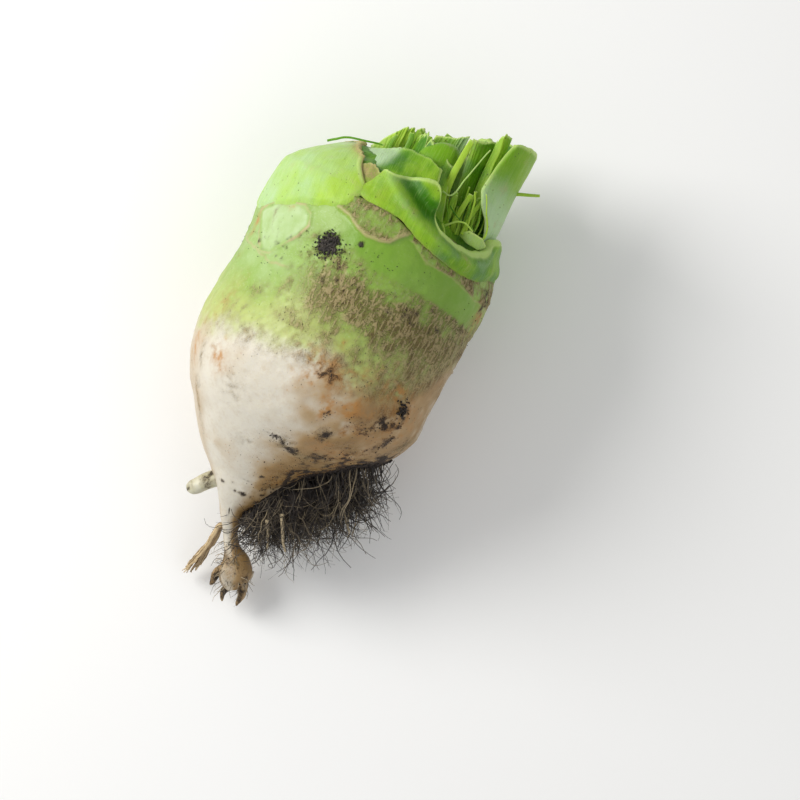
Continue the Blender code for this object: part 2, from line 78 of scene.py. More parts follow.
def paint(red: float, green: float, blue: float) -> Colour:
    """A colour seen as 0 to 255 on a screen, as light.

    Args:
        red: seen red.
        green: seen green.
        blue: seen blue.

    Returns:
        The linear colour with full alpha.
    """

    def light(seen: float) -> float:
        """One channel as light."""
        share = seen / 255
        return share / 12.92 if share <= 0.04045 else ((share + 0.055) / 1.055) ** 2.4

    return light(red), light(green), light(blue), 1.0


def ease(t: Array) -> Array:
    """Rises from 0 to 1 as t does, level at both ends."""
    t = np.clip(t, 0, 1)
    return t * t * (3 - 2 * t)


def ramp(x: Array, start: float, length: float) -> Array:
    """Rises from 0 at `start` to 1 over a length."""
    return ease((x - start) / length)


def fall(x: Array, end: float, length: float) -> Array:
    """Falls from 1 to 0 at `end` over a length."""
    return ease((end - x) / length)


def unit(vectors: Array) -> Array:
    """Vectors in the last axis made one long."""
    return vectors / np.linalg.norm(vectors, axis=-1, keepdims=True)


def circle(sides: int) -> Array:
    """Evenly spaced angles round a circle."""
    return np.linspace(0, 2 * math.pi, sides, endpoint=False)


def hump(t: Array) -> Array:
    """1 where t is 0, falling off to both sides."""
    return np.exp(-(t**2))


def world(points: Array) -> Array:
    """Points of the root's frame in mm as metres in the room.

    Args:
        points: (along, across, up) in the last axis.

    Returns:
        (x, y, z) in the last axis.
    """
    tilt = math.radians(PITCH)
    along, across, up = points[..., 0], points[..., 1], points[..., 2]
    y = along * math.cos(tilt) - up * math.sin(tilt)
    z = along * math.sin(tilt) + up * math.cos(tilt) + REST_DEPTH
    return np.stack([across, y, z], axis=-1) * MM


def above_floor(points: Array, clearance: float = 0.0) -> Array:
    """Points of the root's frame lifted to the floor where they are under it.

    Args:
        points: (along, across, up) in mm.
        clearance: least height in mm.

    Returns:
        The lifted points.
    """
    tilt = math.radians(PITCH)
    points = np.array(points, float)
    height = points[..., 0] * math.sin(tilt) + points[..., 2] * math.cos(tilt) + REST_DEPTH
    low = np.minimum(height - clearance, 0)
    points[..., 0] -= low * math.sin(tilt)
    points[..., 2] -= low * math.cos(tilt)
    return points


class Unevenness:
    """A smooth random field over space."""

    def __init__(self, seed: int) -> None:
        """Draws the field's values."""
        self.values = np.random.default_rng(seed).uniform(-1, 1, FIELD_SIZE)

    def at(self, points: Array, size: float) -> Array:
        """The field, from -1 to 1, at points in mm, with bumps about `size` mm apart.

        Args:
            points: in mm.
            size: distance between bumps in mm.

        Returns:
            The field at each point.
        """
        spot = points / size
        cell = np.floor(spot).astype(np.int64)
        share = spot - cell
        share = share**3 * (share * (share * 6 - 15) + 10)
        total = np.zeros(spot.shape[:-1])
        for corner in range(8):
            step = np.array([corner & 1, corner >> 1 & 1, corner >> 2 & 1])
            key = (cell + step) * np.array(FIELD_STEPS)
            mixed = (key[..., 0] ^ key[..., 1] ^ key[..., 2]) & (FIELD_SIZE - 1)
            weight = np.prod(np.where(step == 1, share, 1 - share), axis=-1)
            total += self.values[mixed] * weight
        return total

    def layered(self, points: Array, size: float, layers: int = 3) -> Array:
        """Several fields, each finer and fainter than the one before.

        Args:
            points: in mm.
            size: distance between the largest bumps in mm.
            layers: how many fields.

        Returns:
            Their sum at each point.
        """
        total, strength = 0.0, 1.0
        for layer in range(layers):
            total = total + strength * self.at(points + 37.1 * layer, size / 2**layer)
            strength *= 0.55
        return total


@dataclass(frozen=True)
class Line:
    """A line round the root, as pairs of turn in degrees and height along in mm."""

    points: Rows
    closed: bool = False  # goes all the way round

    def along(self, turn: Array) -> Array:
        """Height of the line at each turn.

        Args:
            turn: in degrees.

        Returns:
            Heights in mm.
        """
        table = np.array(self.points, float)
        if self.closed:
            table = np.vstack([table[:-1] - (360, 0), table, table[1:] + (360, 0)])
        return np.interp(turn, table[:, 0], table[:, 1])

    def reach(self, turn: Array, fade: float = 6.0) -> Array:
        """1 where the line runs, fading past its two ends."""
        first, last = self.points[0][0], self.points[-1][0]
        return ease((turn - first) / fade + 1) * ease((last - turn) / fade + 1)

    def distance(self, turn: Array, along: Array) -> Array:
        """Distance over the skin to the line, in mm.

        Args:
            turn: of the spots, in degrees.
            along: their heights in mm.

        Returns:
            The distance of each spot.
        """
        spots = np.stack([turn * ARC, along], axis=-1)
        table = np.array(self.points, float) * (ARC, 1.0)
        best = np.full(turn.shape, 1e3)
        for start, end in zip(table[:-1], table[1:]):
            way = end - start
            share = np.clip(((spots - start) @ way) / (way @ way), 0, 1)
            best = np.minimum(best, np.linalg.norm(spots - start - share[..., None] * way, axis=-1))
        return best

    def encloses(self, turn: Array, along: Array) -> Array:
        """Whether spots lie inside the line taken as an outline.

        Args:
            turn: of the spots, in degrees.
            along: their heights in mm.

        Returns:
            True where a spot is inside.
        """
        inside = np.zeros(turn.shape, bool)
        table = np.array(self.points, float)
        for (t0, a0), (t1, a1) in zip(table, np.roll(table, -1, axis=0)):
            crosses = (a0 > along) != (a1 > along)
            with np.errstate(divide="ignore", invalid="ignore"):
                where = t0 + (along - a0) * (t1 - t0) / np.where(a1 == a0, 1e-9, a1 - a0)
            inside ^= crosses & (turn < where)
        return inside


class Stain(Enum):
    """What a mark on the skin is made of."""

    SOIL = "soil"
    RUST = "rust"
    SMUDGE = "smudge"


SPINE: Rows = (  # along, across, up, radius
    (-119.8, 11.8, -27.6, 2.0), (-117.0, 10.2, -27.4, 5.0), (-111.5, 9.2, -26.8, 7.0),
    (-107.6, 7.2, -25.8, 5.6), (-104.5, 4.4, -24.6, 3.5), (-100.0, 1.2, -22.8, 3.0),
    (-93.0, -1.9, -19.0, 4.1), (-86.0, -4.0, -15.0, 6.4), (-78.5, -4.8, -11.2, 12.9),
    (-71.0, -6.8, -8.4, 19.4), (-62.0, -7.2, -5.6, 26.6), (-55.0, -4.7, -3.6, 34.0),
    (-46.0, -1.8, -1.8, 43.2), (-36.5, -0.6, -0.6, 49.0), (-27.0, 0.2, 0.0, 52.3), (-15.0, -0.3, 0.0, 52.9),
    (-5.0, 0.2, 0.0, 52.4), (8.0, 1.2, 0.0, 52.2), (20.0, 1.4, 0.0, 52.1), (32.0, 1.2, 0.0, 52.6),
    (42.0, 0.9, 0.0, 52.0), (49.0, 0.4, 0.0, 50.9),
)
LEDGE = Line(
    (
        (-180, 48.5), (-130, 47.5), (-90, 45.5), (-62, 42.5), (-36, 44.0), (-25, 51.5), (-15, 52.5),
        (4, 52.0), (12, 48.6), (20, 46.6), (32, 44.6), (50, 43.6), (68, 46.5), (88, 48.0), (130, 47.0),
        (180, 48.5),
    ),
    closed=True,
)
CROWN: Rows = ((0.0, 1.0), (0.6, 0.985), (3.0, 0.94), (6.5, 0.84), (9.5, 0.68), (11.8, 0.45), (13.0, 0.2))
SCARS: Rows = (  # turn, along, half width in degrees, half height in mm, strength
    (-66.0, 44.0, 36.0, 6.0, 0.2), (76.0, 45.0, 34.0, 6.4, 0.4), (142.0, 43.0, 32.0, 6.5, 1.0),
    (208.0, 44.0, 34.0, 6.5, 1.0), (60.0, 29.5, 40.0, 6.2, 0.35), (118.0, 27.0, 26.0, 8.0, 1.0),
    (176.0, 28.0, 28.0, 8.5, 1.0), (238.0, 27.0, 28.0, 9.0, 1.0), (92.0, 12.0, 26.0, 6.0, 0.7),
    (206.0, 12.0, 26.0, 6.5, 1.0),
)
BORDER = Line(  # where white turns to green
    (
        (-180, -4), (-150, 2), (-120, -10), (-90, -22), (-54, -22.6), (-35, -19.3), (-19, -16),
        (3.4, -16.6), (15.8, -20.2), (29, -17.7), (46, -11.3), (61, -2.5), (72, 9.5), (87, 17), (110, 14),
        (140, 4), (180, -4),
    ),
    closed=True,
)
CORK_TOP = Line(
    (
        (-180, 22), (-120, 18), (-90, 14), (-64, 13.7), (-40, 12.6), (-23, 20.8), (-10, 23.4), (3.5, 23.5),
        (22, 22.4), (41, 20.6), (72, 18.9), (120, 24), (180, 22),
    ),
    closed=True,
)
CORK_FOOT = Line(
    (
        (-180, -2), (-120, 0), (-59, 1.9), (-38, 2), (-16, -1.7), (2, -2.8), (17, 1.1), (38, -1.3),
        (63, 1.3), (82, 8.9), (120, 4), (180, -2),
    ),
    closed=True,
)
CRESCENT = Line(
    (
        (-23.9, 44.2), (-16.6, 43), (-11.6, 40.3), (-5.9, 38.6), (-0.1, 39.2), (4.5, 40.7), (7.6, 44.1),
        (12.2, 47.9),
    ),
)
BAND_TOP = Line(
    ((15, 45), (18.7, 43), (23.1, 40.1), (31.8, 39.4), (40.2, 39.4), (47.4, 38.2), (61.2, 35.7), (84, 34)),
)
BAND_FOOT = Line(
    ((-8, 30.5), (-6.7, 29.7), (2.1, 26), (16, 26.1), (29.5, 25.6), (46, 23.8), (69.5, 21.7), (84, 21)),
)
SHIELD = Line(
    (
        (-74.7, 29.1), (-64.6, 33.8), (-50.2, 38.2), (-40.7, 38.6), (-35.6, 36.1), (-33.5, 31.4),
        (-37.1, 25.4), (-45.1, 18.8), (-49.7, 13.9), (-56.2, 13.1), (-66, 20), (-74.7, 29.1),
    ),
)
LEFT_RIDGE = Line(((-95, 19), (-84.6, 17.5), (-60.9, 14.4), (-46.7, 11.9), (-38, 12.9)))
FRONT_SHEATH = Line(
    (
        (-40, 54), (-22.6, 53.5), (-13.8, 51.6), (-5, 52.4), (3.9, 51.5), (11.6, 47.6), (17.1, 46.4),
        (25.1, 45), (32, 43.6), (42.8, 42.6), (58.1, 43.9), (74.2, 46.5), (100, 47),
    ),
)
LEFT_SHEATH = Line(
    (
        (-130, 36), (-110, 30), (-90, 28.1), (-66.4, 32.1), (-50.5, 38.6), (-38.7, 42), (-29.2, 43.3),
        (-15.7, 41.2),
    ),
)
BACK_SHEATH = Line(
    ((90, 45), (110, 43), (132, 40), (150, 41), (168, 45), (185, 43), (207, 38), (228, 40), (250, 45)),
)
COLLAR = Line(
    (
        (-14, 67.2), (-10, 65.6), (-4, 62.4), (2, 59.1), (10, 55.2), (18, 52.3), (27, 49.9), (38, 47.7),
        (48, 48.1), (58, 50.6), (63, 54.7), (70, 60),
    ),
)
MARKS: dict[Stain, Rows] = {  # turn, along, half width and half height in mm, strength
    Stain.SOIL: (
        (-20.4, 28.2, 5.2, 4.6, 1.15), (-13, 26.8, 3.4, 2.6, 0.75), (-6.5, 34.1, 1.5, 1.4, 0.8),
        (-33.2, 29.2, 1.2, 1.0, 0.7), (6.8, -19.7, 6.5, 5, 0.72), (16.5, -34.5, 1.8, 2, 0.8),
        (24.5, -43.1, 3.6, 3.4, 0.75), (44.5, -27.5, 6, 4, 0.85), (53.9, -22.2, 1.8, 6.5, 0.95),
        (56, -34, 4, 6, 0.7), (34.1, -31.1, 5, 2.8, 0.8), (39.2, -33.6, 6, 3.4, 0.7),
        (6, -52.8, 5, 1.1, 0.75), (13, -53.8, 5, 1.2, 0.7), (22, -54.6, 5, 1.5, 0.8),
        (37.8, -52.8, 9, 2.4, 0.7), (74, -41, 9, 5, 0.9), (70, -48.9, 10, 5, 0.9), (75, 36, 4.5, 5, 0.85),
        (-6, -91.7, 3, 4, 0.6), (37, -99.8, 4, 4, 0.6), (132, -26, 8, 6, 0.6), (100, -52, 14, 9, 0.7),
        (-160, 30, 7, 5, 0.6), (130, 26, 6, 4, 0.6),
    ),
    Stain.RUST: (
        (-52, 36, 6, 2, 0.4), (6.8, -19.7, 11, 8, 0.75), (5, -23, 16, 10, 0.3), (15.6, -33.4, 3, 4.2, 1.1),
        (25.6, -28.6, 8, 5, 0.8), (30, -30, 24, 12, 0.42), (46.4, -14.4, 6, 5, 0.8), (50, -24, 16, 14, 0.6),
        (38, -34, 14, 8, 0.5), (30, -47, 12, 6, 0.4), (48, -47, 12, 5, 0.6), (76, 31, 6, 7, 0.6),
        (-71.6, -31.7, 5, 12, 0.5), (-60, -14, 7, 12, 0.28), (-46, -33.5, 5, 5, 0.75), (-72, 39, 5, 3, 0.7),
        (-76, 22, 3, 9, 0.55), (120, -20, 13, 10, 0.5), (-118, -30, 6, 5, 0.5),
    ),
    Stain.SMUDGE: (
        (-11, 22, 6.5, 6, 1.1), (-22, 22, 6, 4, 0.6), (-58, 30, 2.4, 6, 0.5), (-36, 27, 2, 3.2, 0.7),
        (24.5, -43.1, 7, 5, 0.7), (44.5, -24.5, 11, 9, 0.9), (14, -53.8, 12, 2.6, 0.7),
        (33, -55.5, 10, 2.6, 0.85), (-12, -60, 8, 2.2, 0.5), (72.5, -33.1, 8, 8, 0.8),
        (55, -55, 12, 5, 0.9), (-61.6, -35.7, 3.4, 9, 0.5), (-52, -29, 3, 6, 0.4),
        (-31.3, -41.8, 9, 6, 0.42), (-26, -22, 14, 7, 0.25), (-64.9, -53.8, 5, 11, 0.5),
        (-150, -18, 12, 9, 0.6), (175, -34, 10, 8, 0.6),
    ),
}
TUFT_EDGE: Rows = (  # heights along, and the turn where the tuft's soil starts at each
    (-86, -80, -65, -55, -49, -44, -38), (66, 60, 74, 66, 61, 70, 96),
)
CRACKS: Rows = (  # turn, along, half length, half width in mm
    (-17, 17.5, 5.5, 0.7), (-14, 16.0, 4.0, 0.5), (-7.5, 18.4, 6.0, 0.8), (-4, 16.5, 4.5, 0.5),
    (2, 19.7, 5.0, 0.7), (-22, 13.0, 4.0, 0.5), (9, 17.0, 4.0, 0.5), (28, 15.0, 4.5, 0.5),
)
WRINKLES: Rows = (  # turn, along at the middle, half width in degrees, slope in mm a degree
    (20, -74.8, 30, 0.05), (49, -73.5, 22, -0.06), (34, -70.5, 24, 0.03), (38, -78.0, 26, 0.0),
    (5, -81.5, 40, 0.02), (50, -66.0, 20, 0.05), (-40, -79.0, 30, 0.0), (120, -72.0, 40, 0.03),
    (-130, -74.0, 44, -0.03), (180, -68.0, 36, 0.02),
)


class RootForm:
    """The shape of the swollen root, shared by the skin and by all that grows or clings on it."""

    def __init__(self) -> None:
        """Prepares the uneven fields of the skin."""
        self.rough = Unevenness(5)
        self.fine = Unevenness(9)

    def spine_at(self, along: Array) -> Array:
        """Centre and radius of the root at heights along it.

        Args:
            along: heights in mm.

        Returns:
            Rows of across, up and radius.
        """
        table = np.array(SPINE)
        keys = table[:, 0]
        slopes = np.gradient(table[:, 1:], keys, axis=0)
        i = np.clip(np.searchsorted(keys, along) - 1, 0, len(keys) - 2)
        span = (keys[i + 1] - keys[i])[..., None]
        t = np.clip((along - keys[i]) / span[..., 0], 0, 1)[..., None]
        low, high = table[i, 1:], table[i + 1, 1:]
        return (
            (2 * t**3 - 3 * t**2 + 1) * low
            + (t**3 - 2 * t**2 + t) * span * slopes[i]
            + (3 * t**2 - 2 * t**3) * high
            + (t**3 - t**2) * span * slopes[i + 1]
        )

    def lumps(self, along: Array, turn: Array) -> Array:
        """How far the section departs from round, as a share of the radius.

        Args:
            along: heights in mm.
            turn: in degrees.

        Returns:
            The share at each spot.
        """
        t = np.radians(turn)
        reach = hump((along - 24.0) / 17.0)
        return (
            0.026 * np.exp(-(1 + np.cos(t)) / 0.25) * reach
            + 0.013 * np.sin(2 * t) * np.cos(0.02 * along)
            + 0.012 * np.cos(3 * t) * np.sin(0.7 + 0.03 * along)
            + 0.006 * np.cos(5 * t) * np.cos(0.05 * along)
        )

    def wander(self, points: Array, step: float, size: float) -> Array:
        """Uneven shifts of points in all three directions."""
        return np.stack([self.fine.layered(points + step * k, size, 2) for k in range(3)], axis=-1)

    def ledge_at(self, turn: Array) -> Array:
        """Height of the ledge below the leaf bases."""
        turn = (np.asarray(turn, float) + 180) % 360 - 180
        return sum(LEDGE.along(turn + shift) for shift in (-6, -2, 2, 6)) / 4

    def scar_relief(self, along: Array, turn: Array) -> tuple[Array, Array]:
        """Corky rims and sunken pads of the leaf scars.

        Args:
            along: heights in mm.
            turn: in degrees.

        Returns:
            Height in mm, and how much each spot is on a rim.
        """
        relief = np.zeros(np.broadcast(along, turn).shape)
        rims = np.zeros_like(relief)
        for middle, height, half_width, half_height, strength in SCARS:
            sideways = ((turn - middle + 180) % 360 - 180) / half_width
            droop = height - half_height * 0.25 * (1 - sideways**2)
            reach = (np.abs(sideways) ** 2.6 + np.abs((along - droop) / half_height) ** 2.6) ** (1 / 2.6)
            rim = hump((reach - 1) / 0.13)
            pad = 1 / (1 + np.exp(np.clip((reach - 0.86) / 0.05, -40, 40)))
            lower = 0.55 + 0.45 * np.clip((droop - along) / half_height, -1, 1)
            raised = np.maximum(relief, 0.85 * strength * rim * lower)
            relief = raised - 0.5 * strength * pad * (relief < 0.3)
            rims = np.maximum(rims, strength * rim * lower)
        return relief, rims

    def skin_points(self, heights: Array, turns: Array, relief: Array | float) -> Array:
        """Points of the skin in the root's frame.

        Args:
            heights: one for each ring, before the ledge lifts the rings.
            turns: one for each column, in degrees.
            relief: added to the radius, in mm, for each ring and column.

        Returns:
            An array of rings, columns and (along, across, up).
        """
        shape = self.spine_at(heights)
        centres = np.column_stack([heights, shape[:, 0], shape[:, 1]])
        tangents = unit(np.gradient(centres, heights, axis=0))
        straight = ease((shape[:, 2] - 6.0) / 10.0)[:, None]
        tangents = unit(tangents * (1 - straight) + np.array([1.0, 0.0, 0.0]) * straight)
        across = unit(np.array([0.0, 1.0, 0.0]) - tangents * tangents[:, 1:2])
        up = np.cross(tangents, across)
        up *= np.sign(up[:, 2:3])
        size = shape[:, 2:3] * (1 + self.lumps(heights[:, None], turns[None, :])) + relief
        around = np.radians(turns)
        points = (
            centres[:, None, :]
            + (size * np.sin(around))[..., None] * across[:, None, :]
            + (size * np.cos(around))[..., None] * up[:, None, :]
        )
        drop = self.ledge_at(turns) - 50.0
        points[..., 0] += drop * ramp(heights, 22.0, 27.0)[:, None]
        return points

    def spot(self, turn: float, along: float, lift: float = 0.0) -> tuple[Array, Array]:
        """A spot on the skin and the way out of it.

        Args:
            turn: angle round the root in degrees.
            along: height in mm.
            lift: distance off the skin in mm.

        Returns:
            The spot and a unit vector.
        """
        around = math.radians(turn)
        across, up, radius = self.spine_at(np.array([along]))[0]
        size = radius * (1 + float(self.lumps(np.array(along), np.array(turn)))) + lift
        out = np.array([0.0, math.sin(around), math.cos(around)])
        before, after = self.spine_at(np.array([along - 1.0, along + 1.0]))[:, 2]
        slope = (after - before) / 2
        normal = out - np.array([slope, 0.0, 0.0])
        return np.array([along, across, up]) + out * size, unit(normal)


FORM = RootForm()


def mesh_piece(
    name: str,
    points: Array,
    faces: list[tuple[int, ...]],
    values: dict[str, Array] | None = None,
    turn_outwards: bool = True,
) -> Piece:
    """A piece from points in the root's frame, with numbers at its points for its finish to read.

    Args:
        name: the piece's name.
        points: (along, across, up) in mm.
        faces: point numbers of each face.
        values: numbers at each point, by name.
        turn_outwards: makes all faces look outwards.

    Returns:
        The object, in the scene.
    """
    mesh = bpy.data.meshes.new(name)
    mesh.from_pydata(world(points).tolist(), [], faces)
    if turn_outwards:
        shell = bmesh.new()
        shell.from_mesh(mesh)
        bmesh.ops.recalc_face_normals(shell, faces=shell.faces)
        shell.to_mesh(mesh)
        shell.free()
    for key, numbers in (values or {}).items():
        layer = mesh.attributes.new(key, "FLOAT", "POINT")
        layer.data.foreach_set("value", np.asarray(numbers, np.float32).ravel())
    mesh.shade_smooth()
    made = bpy.data.objects.new(name, mesh)
    bpy.context.scene.collection.objects.link(made)
    return made


def attach(pieces: list[Piece], material: Material) -> list[Piece]:
    """Paints pieces and fixes them to the root.

    Args:
        pieces: the pieces.
        material: their finish.

    Returns:
        The same pieces.
    """
    for piece in pieces:
        piece.data.materials.append(material)
        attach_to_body(piece, "root")
    return pieces


def between(shares: Array, table: Any) -> Array:
    """Points at shares of the way through a list of evenly spaced points."""
    table = np.array(table, float)
    return np.column_stack([np.interp(shares, np.linspace(0, 1, len(table)), column) for column in table.T])


def ring_faces(rings: int, size: int, cap: bool = True) -> list[tuple[int, ...]]:
    """Faces of a tube of rings, with caps of one face at each end.

    Args:
        rings: how many.
        size: points in a ring.
        cap: closes both ends.

    Returns:
        Point numbers of each face.
    """
    i, j = np.meshgrid(np.arange(rings - 1), np.arange(size), indexing="ij")
    k = (j + 1) % size
    quads = np.stack([i * size + j, i * size + k, (i + 1) * size + k, (i + 1) * size + j], axis=-1)
    faces = [tuple(quad) for quad in quads.reshape(-1, 4).tolist()]
    if cap:
        faces.append(tuple(range(size)))
        faces.append(tuple((rings - 1) * size + n for n in reversed(range(size))))
    return faces


def shell_faces(total: int, width: int) -> list[tuple[int, ...]]:
    """Faces of a folded sheet: rows go up its outer side, over its edge and down its inner side.

    Args:
        total: how many rows.
        width: points in a row.

    Returns:
        Point numbers of each face.
    """
    i, j = np.meshgrid(np.arange(total), np.arange(width - 1), indexing="ij")
    k = (i + 1) % total
    quads = np.stack([i * width + j, i * width + j + 1, k * width + j + 1, k * width + j], axis=-1)
    faces = [tuple(quad) for quad in quads.reshape(-1, 4).tolist()]
    for end in (0, width - 1):
        for row in range(total // 2):
            far = total - 1 - row
            if far - 1 > row + 1:
                faces.append(tuple(n * width + end for n in (row, row + 1, far - 1, far)))
    return faces


def strand_mesh(
    name: str,
    paths: Array,
    radii: Array,
    sides: int,
    values: dict[str, Array] | None = None,
    flat: float | Array = 1.0,
    facing: Triple = (0.31, 0.5, 0.81),
) -> Piece:
    """Many strands as one piece.

    Args:
        name: the piece's name.
        paths: strands, steps and (along, across, up).
        radii: strands and steps.
        sides: of each strand.
        values: numbers for each strand and step, or also each side, by name.
        flat: thickness as a share of the width, for all or for each strand.
        facing: roughly the way that the flat of a strand looks.

    Returns:
        The object.
    """
    count, steps = paths.shape[:2]
    tangents = np.gradient(paths, axis=1)
    tangents /= np.linalg.norm(tangents, axis=2)[..., None] + 1e-9
    side = np.cross(tangents, np.array(facing))
    side /= np.linalg.norm(side, axis=2)[..., None] + 1e-9
    other = np.cross(tangents, side)
    around = circle(sides)
    thick = np.broadcast_to(np.asarray(flat, float), (count,))[:, None, None, None] * radii[:, :, None, None]
    points = (
        paths[:, :, None, :]
        + radii[:, :, None, None] * np.cos(around)[:, None] * side[:, :, None, :]
        + thick * np.sin(around)[:, None] * other[:, :, None, :]
    )
    one = ring_faces(steps, sides)
    faces = [tuple(n + s * steps * sides for n in face) for s in range(count) for face in one]
    shape = (count, steps, sides)
    spread = {
        key: np.broadcast_to(number if number.ndim == 3 else number[..., None], shape)
        for key, number in (values or {}).items()
    }
    return mesh_piece(name, points.reshape(-1, 3), faces, spread)


def grain_mesh(
    name: str, centres: Array, sizes: Array, seed: int, values: dict[str, Array] | None = None
) -> Piece:
    """Many rough grains as one piece.

    Args:
        name: the piece's name.
        centres: (along, across, up) of each grain.
        sizes: half size of each grain along three axes, in mm.
        seed: for their shapes.
        values: one number for each grain, by name.

    Returns:
        The object.
    """
    ball = bmesh.new()
    bmesh.ops.create_icosphere(ball, subdivisions=1, radius=1.0)
    base = np.array([v.co[:] for v in ball.verts])
    base_faces = [tuple(v.index for v in face.verts) for face in ball.faces]
    ball.free()
    draw = np.random.default_rng(seed)
    count = len(centres)
    lumps = 1 + 0.24 * draw.normal(size=(count, len(base), 1)).clip(-1.6, 1.6)
    points = centres[:, None, :] + base[None] * lumps * sizes[:, None, :]
    faces = [tuple(n + g * len(base) for n in face) for g in range(count) for face in base_faces]
    spread = {key: np.repeat(number, len(base)) for key, number in (values or {}).items()}
    return mesh_piece(name, points.reshape(-1, 3), faces, spread, turn_outwards=False)


class Signal:
    """A number that varies over a surface; Python's operators add the Math nodes."""

    def __init__(self, graph: "Graph", socket: Socket) -> None:
        """Wraps one output socket."""
        self.graph, self.socket = graph, socket

    def math(self, operation: str, *others: Any) -> "Signal":
        """The result of one Math node that starts with this number."""
        return self.graph.math(operation, self, *others)

    def __add__(self, other: Any) -> "Signal":
        """This plus another."""
        return self.math("ADD", other)

    __radd__ = __add__

    def __sub__(self, other: Any) -> "Signal":
        """This less another."""
        return self.math("SUBTRACT", other)

    def __rsub__(self, other: Any) -> "Signal":
        """Another less this."""
        return self.graph.math("SUBTRACT", other, self)

    def __mul__(self, other: Any) -> "Signal":
        """This times another."""
        return self.math("MULTIPLY", other)

    __rmul__ = __mul__

    def __truediv__(self, other: Any) -> "Signal":
        """This divided by another."""
        return self.math("DIVIDE", other)

    def __pow__(self, other: Any) -> "Signal":
        """This to a power."""
        return self.math("POWER", other)

    def largest(self, other: Any) -> "Signal":
        """The larger of this and another."""
        return self.math("MAXIMUM", other)

    def rise(self, low: float, high: float) -> "Signal":
        """From 0 at `low` to 1 at `high`, smooth.

        Args:
            low: number where it starts.
            high: number where it ends.

        Returns:
            The new number.
        """
        node = self.graph.node(
            "ShaderNodeMapRange",
            {"interpolation_type": "SMOOTHSTEP"},
            {"Value": self, "From Min": low, "From Max": high},
        )
        return Signal(self.graph, node.outputs["Result"])


class Graph:
    """The nodes of one material."""

    def __init__(self, name: str) -> None:
        """Starts a material with only its shader and output.

        Args:
            name: the material's name.
        """
        self.material = bpy.data.materials.new(name)
        self.material.use_nodes = True
        self.tree = self.material.node_tree
        self.shader = self.tree.nodes["Principled BSDF"]

    def node(
        self, kind: str, settings: dict[str, Any] | None = None, sockets: dict[str | int, Any] | None = None
    ) -> bpy.types.Node:
        """Adds a node.

        Args:
            kind: the node's type.
            settings: its own properties, set first.
            sockets: values or links of its inputs.

        Returns:
            The node.
        """
        made = self.tree.nodes.new(kind)
        for key, value in (settings or {}).items():
            setattr(made, key, value)
        for key, value in (sockets or {}).items():
            self.feed(made.inputs[key], value)
        return made

    def feed(self, socket: Socket, value: Any) -> None:
        """Links or sets an input.

        Args:
            socket: the input.
            value: a number, colour, signal or socket.
        """
        if isinstance(value, Signal):
            value = value.socket
        if isinstance(value, Socket):
            self.tree.links.new(value, socket)
        else:
            socket.default_value = value

    def math(self, operation: str, *values: Any) -> Signal:
        """A Math node."""
        node = self.node("ShaderNodeMath", {"operation": operation}, dict(enumerate(values)))
        return Signal(self, node.outputs[0])

    def kept(self, name: str) -> Signal:
        """A number kept at the mesh's points."""
        node = self.node("ShaderNodeAttribute", {"attribute_name": name})
        return Signal(self, node.outputs["Fac"])

    def place(self) -> Socket:
        """The place on the piece, in mm."""
        spot = self.node("ShaderNodeTexCoord").outputs["Object"]
        return self.vector_math("SCALE", {0: spot, "Scale": 1000.0})

    def vector_math(self, operation: str, sockets: dict[str | int, Any]) -> Socket:
        """The result of one Vector Math node."""
        return self.node("ShaderNodeVectorMath", {"operation": operation}, sockets).outputs["Vector"]

    def stretched(self, x: Any, y: Any, z: Any = 0.0) -> Socket:
        """A place put together from three numbers."""
        return self.node("ShaderNodeCombineXYZ", None, {0: x, 1: y, 2: z}).outputs[0]

    def scaled(self, place: Socket, factors: Triple) -> Socket:
        """A place with its three numbers multiplied, which draws patterns out."""
        return self.vector_math("MULTIPLY", {0: place, 1: factors})

    def warped(self, place: Socket, size: float, reach: float) -> Socket:
        """A place moved about by noise, up to about `reach` mm, which makes lines wander.

        Args:
            place: in mm.
            size: distance between bends in mm.
            reach: furthest move in mm.

        Returns:
            The moved place.
        """
        noise = self.node("ShaderNodeTexNoise", None, {"Vector": place, "Scale": 1 / size}).outputs["Color"]
        shift = self.vector_math("SCALE", {0: noise, "Scale": 2 * reach})
        return self.vector_math("ADD", {0: place, 1: shift})

    def speckle(self, place: Socket, size: float, detail: float = 2.0, rough: float = 0.5) -> Signal:
        """Noise from 0 to 1 with bumps about `size` mm apart.

        Args:
            place: in mm.
            size: distance between bumps in mm.
            detail: how many finer layers.
            rough: how strong they are.

        Returns:
            The noise.
        """
        sockets = {"Vector": place, "Scale": 1 / size, "Detail": detail, "Roughness": rough}
        return Signal(self, self.node("ShaderNodeTexNoise", None, sockets).outputs["Fac"])

    def cells(self, place: Socket, size: float, feature: str = "F1") -> Signal:
        """Distance to scattered spots, or to the edges between their cells."""
        node = self.node("ShaderNodeTexVoronoi", {"feature": feature}, {"Vector": place, "Scale": 1 / size})
        return Signal(self, node.outputs["Distance"])

    def blend(self, share: Any, first: Any, second: Any) -> Socket:
        """Mixes two colours.

        Args:
            share: of the second, from 0 to 1.
            first: a colour.
            second: a colour.

        Returns:
            The mix.
        """
        settings = {"data_type": "RGBA", "clamp_factor": True}
        return self.node("ShaderNodeMix", settings, {0: share, 6: first, 7: second}).outputs[2]

    def bump(self, height: Signal, distance: float, strength: float = 1.0) -> Socket:
        """The normal of a surface with fine relief, with `distance` in metres."""
        sockets = {"Height": height, "Distance": distance, "Strength": strength}
        return self.node("ShaderNodeBump", None, sockets).outputs["Normal"]

    def finish(self, **sockets: Any) -> Material:
        """Feeds the shader and returns the material.

        Args:
            **sockets: values or links, by input name with _ for a space.

        Returns:
            The material.
        """
        for key, value in sockets.items():
            self.feed(self.shader.inputs[key.replace("_", " ")], value)
        return self.material


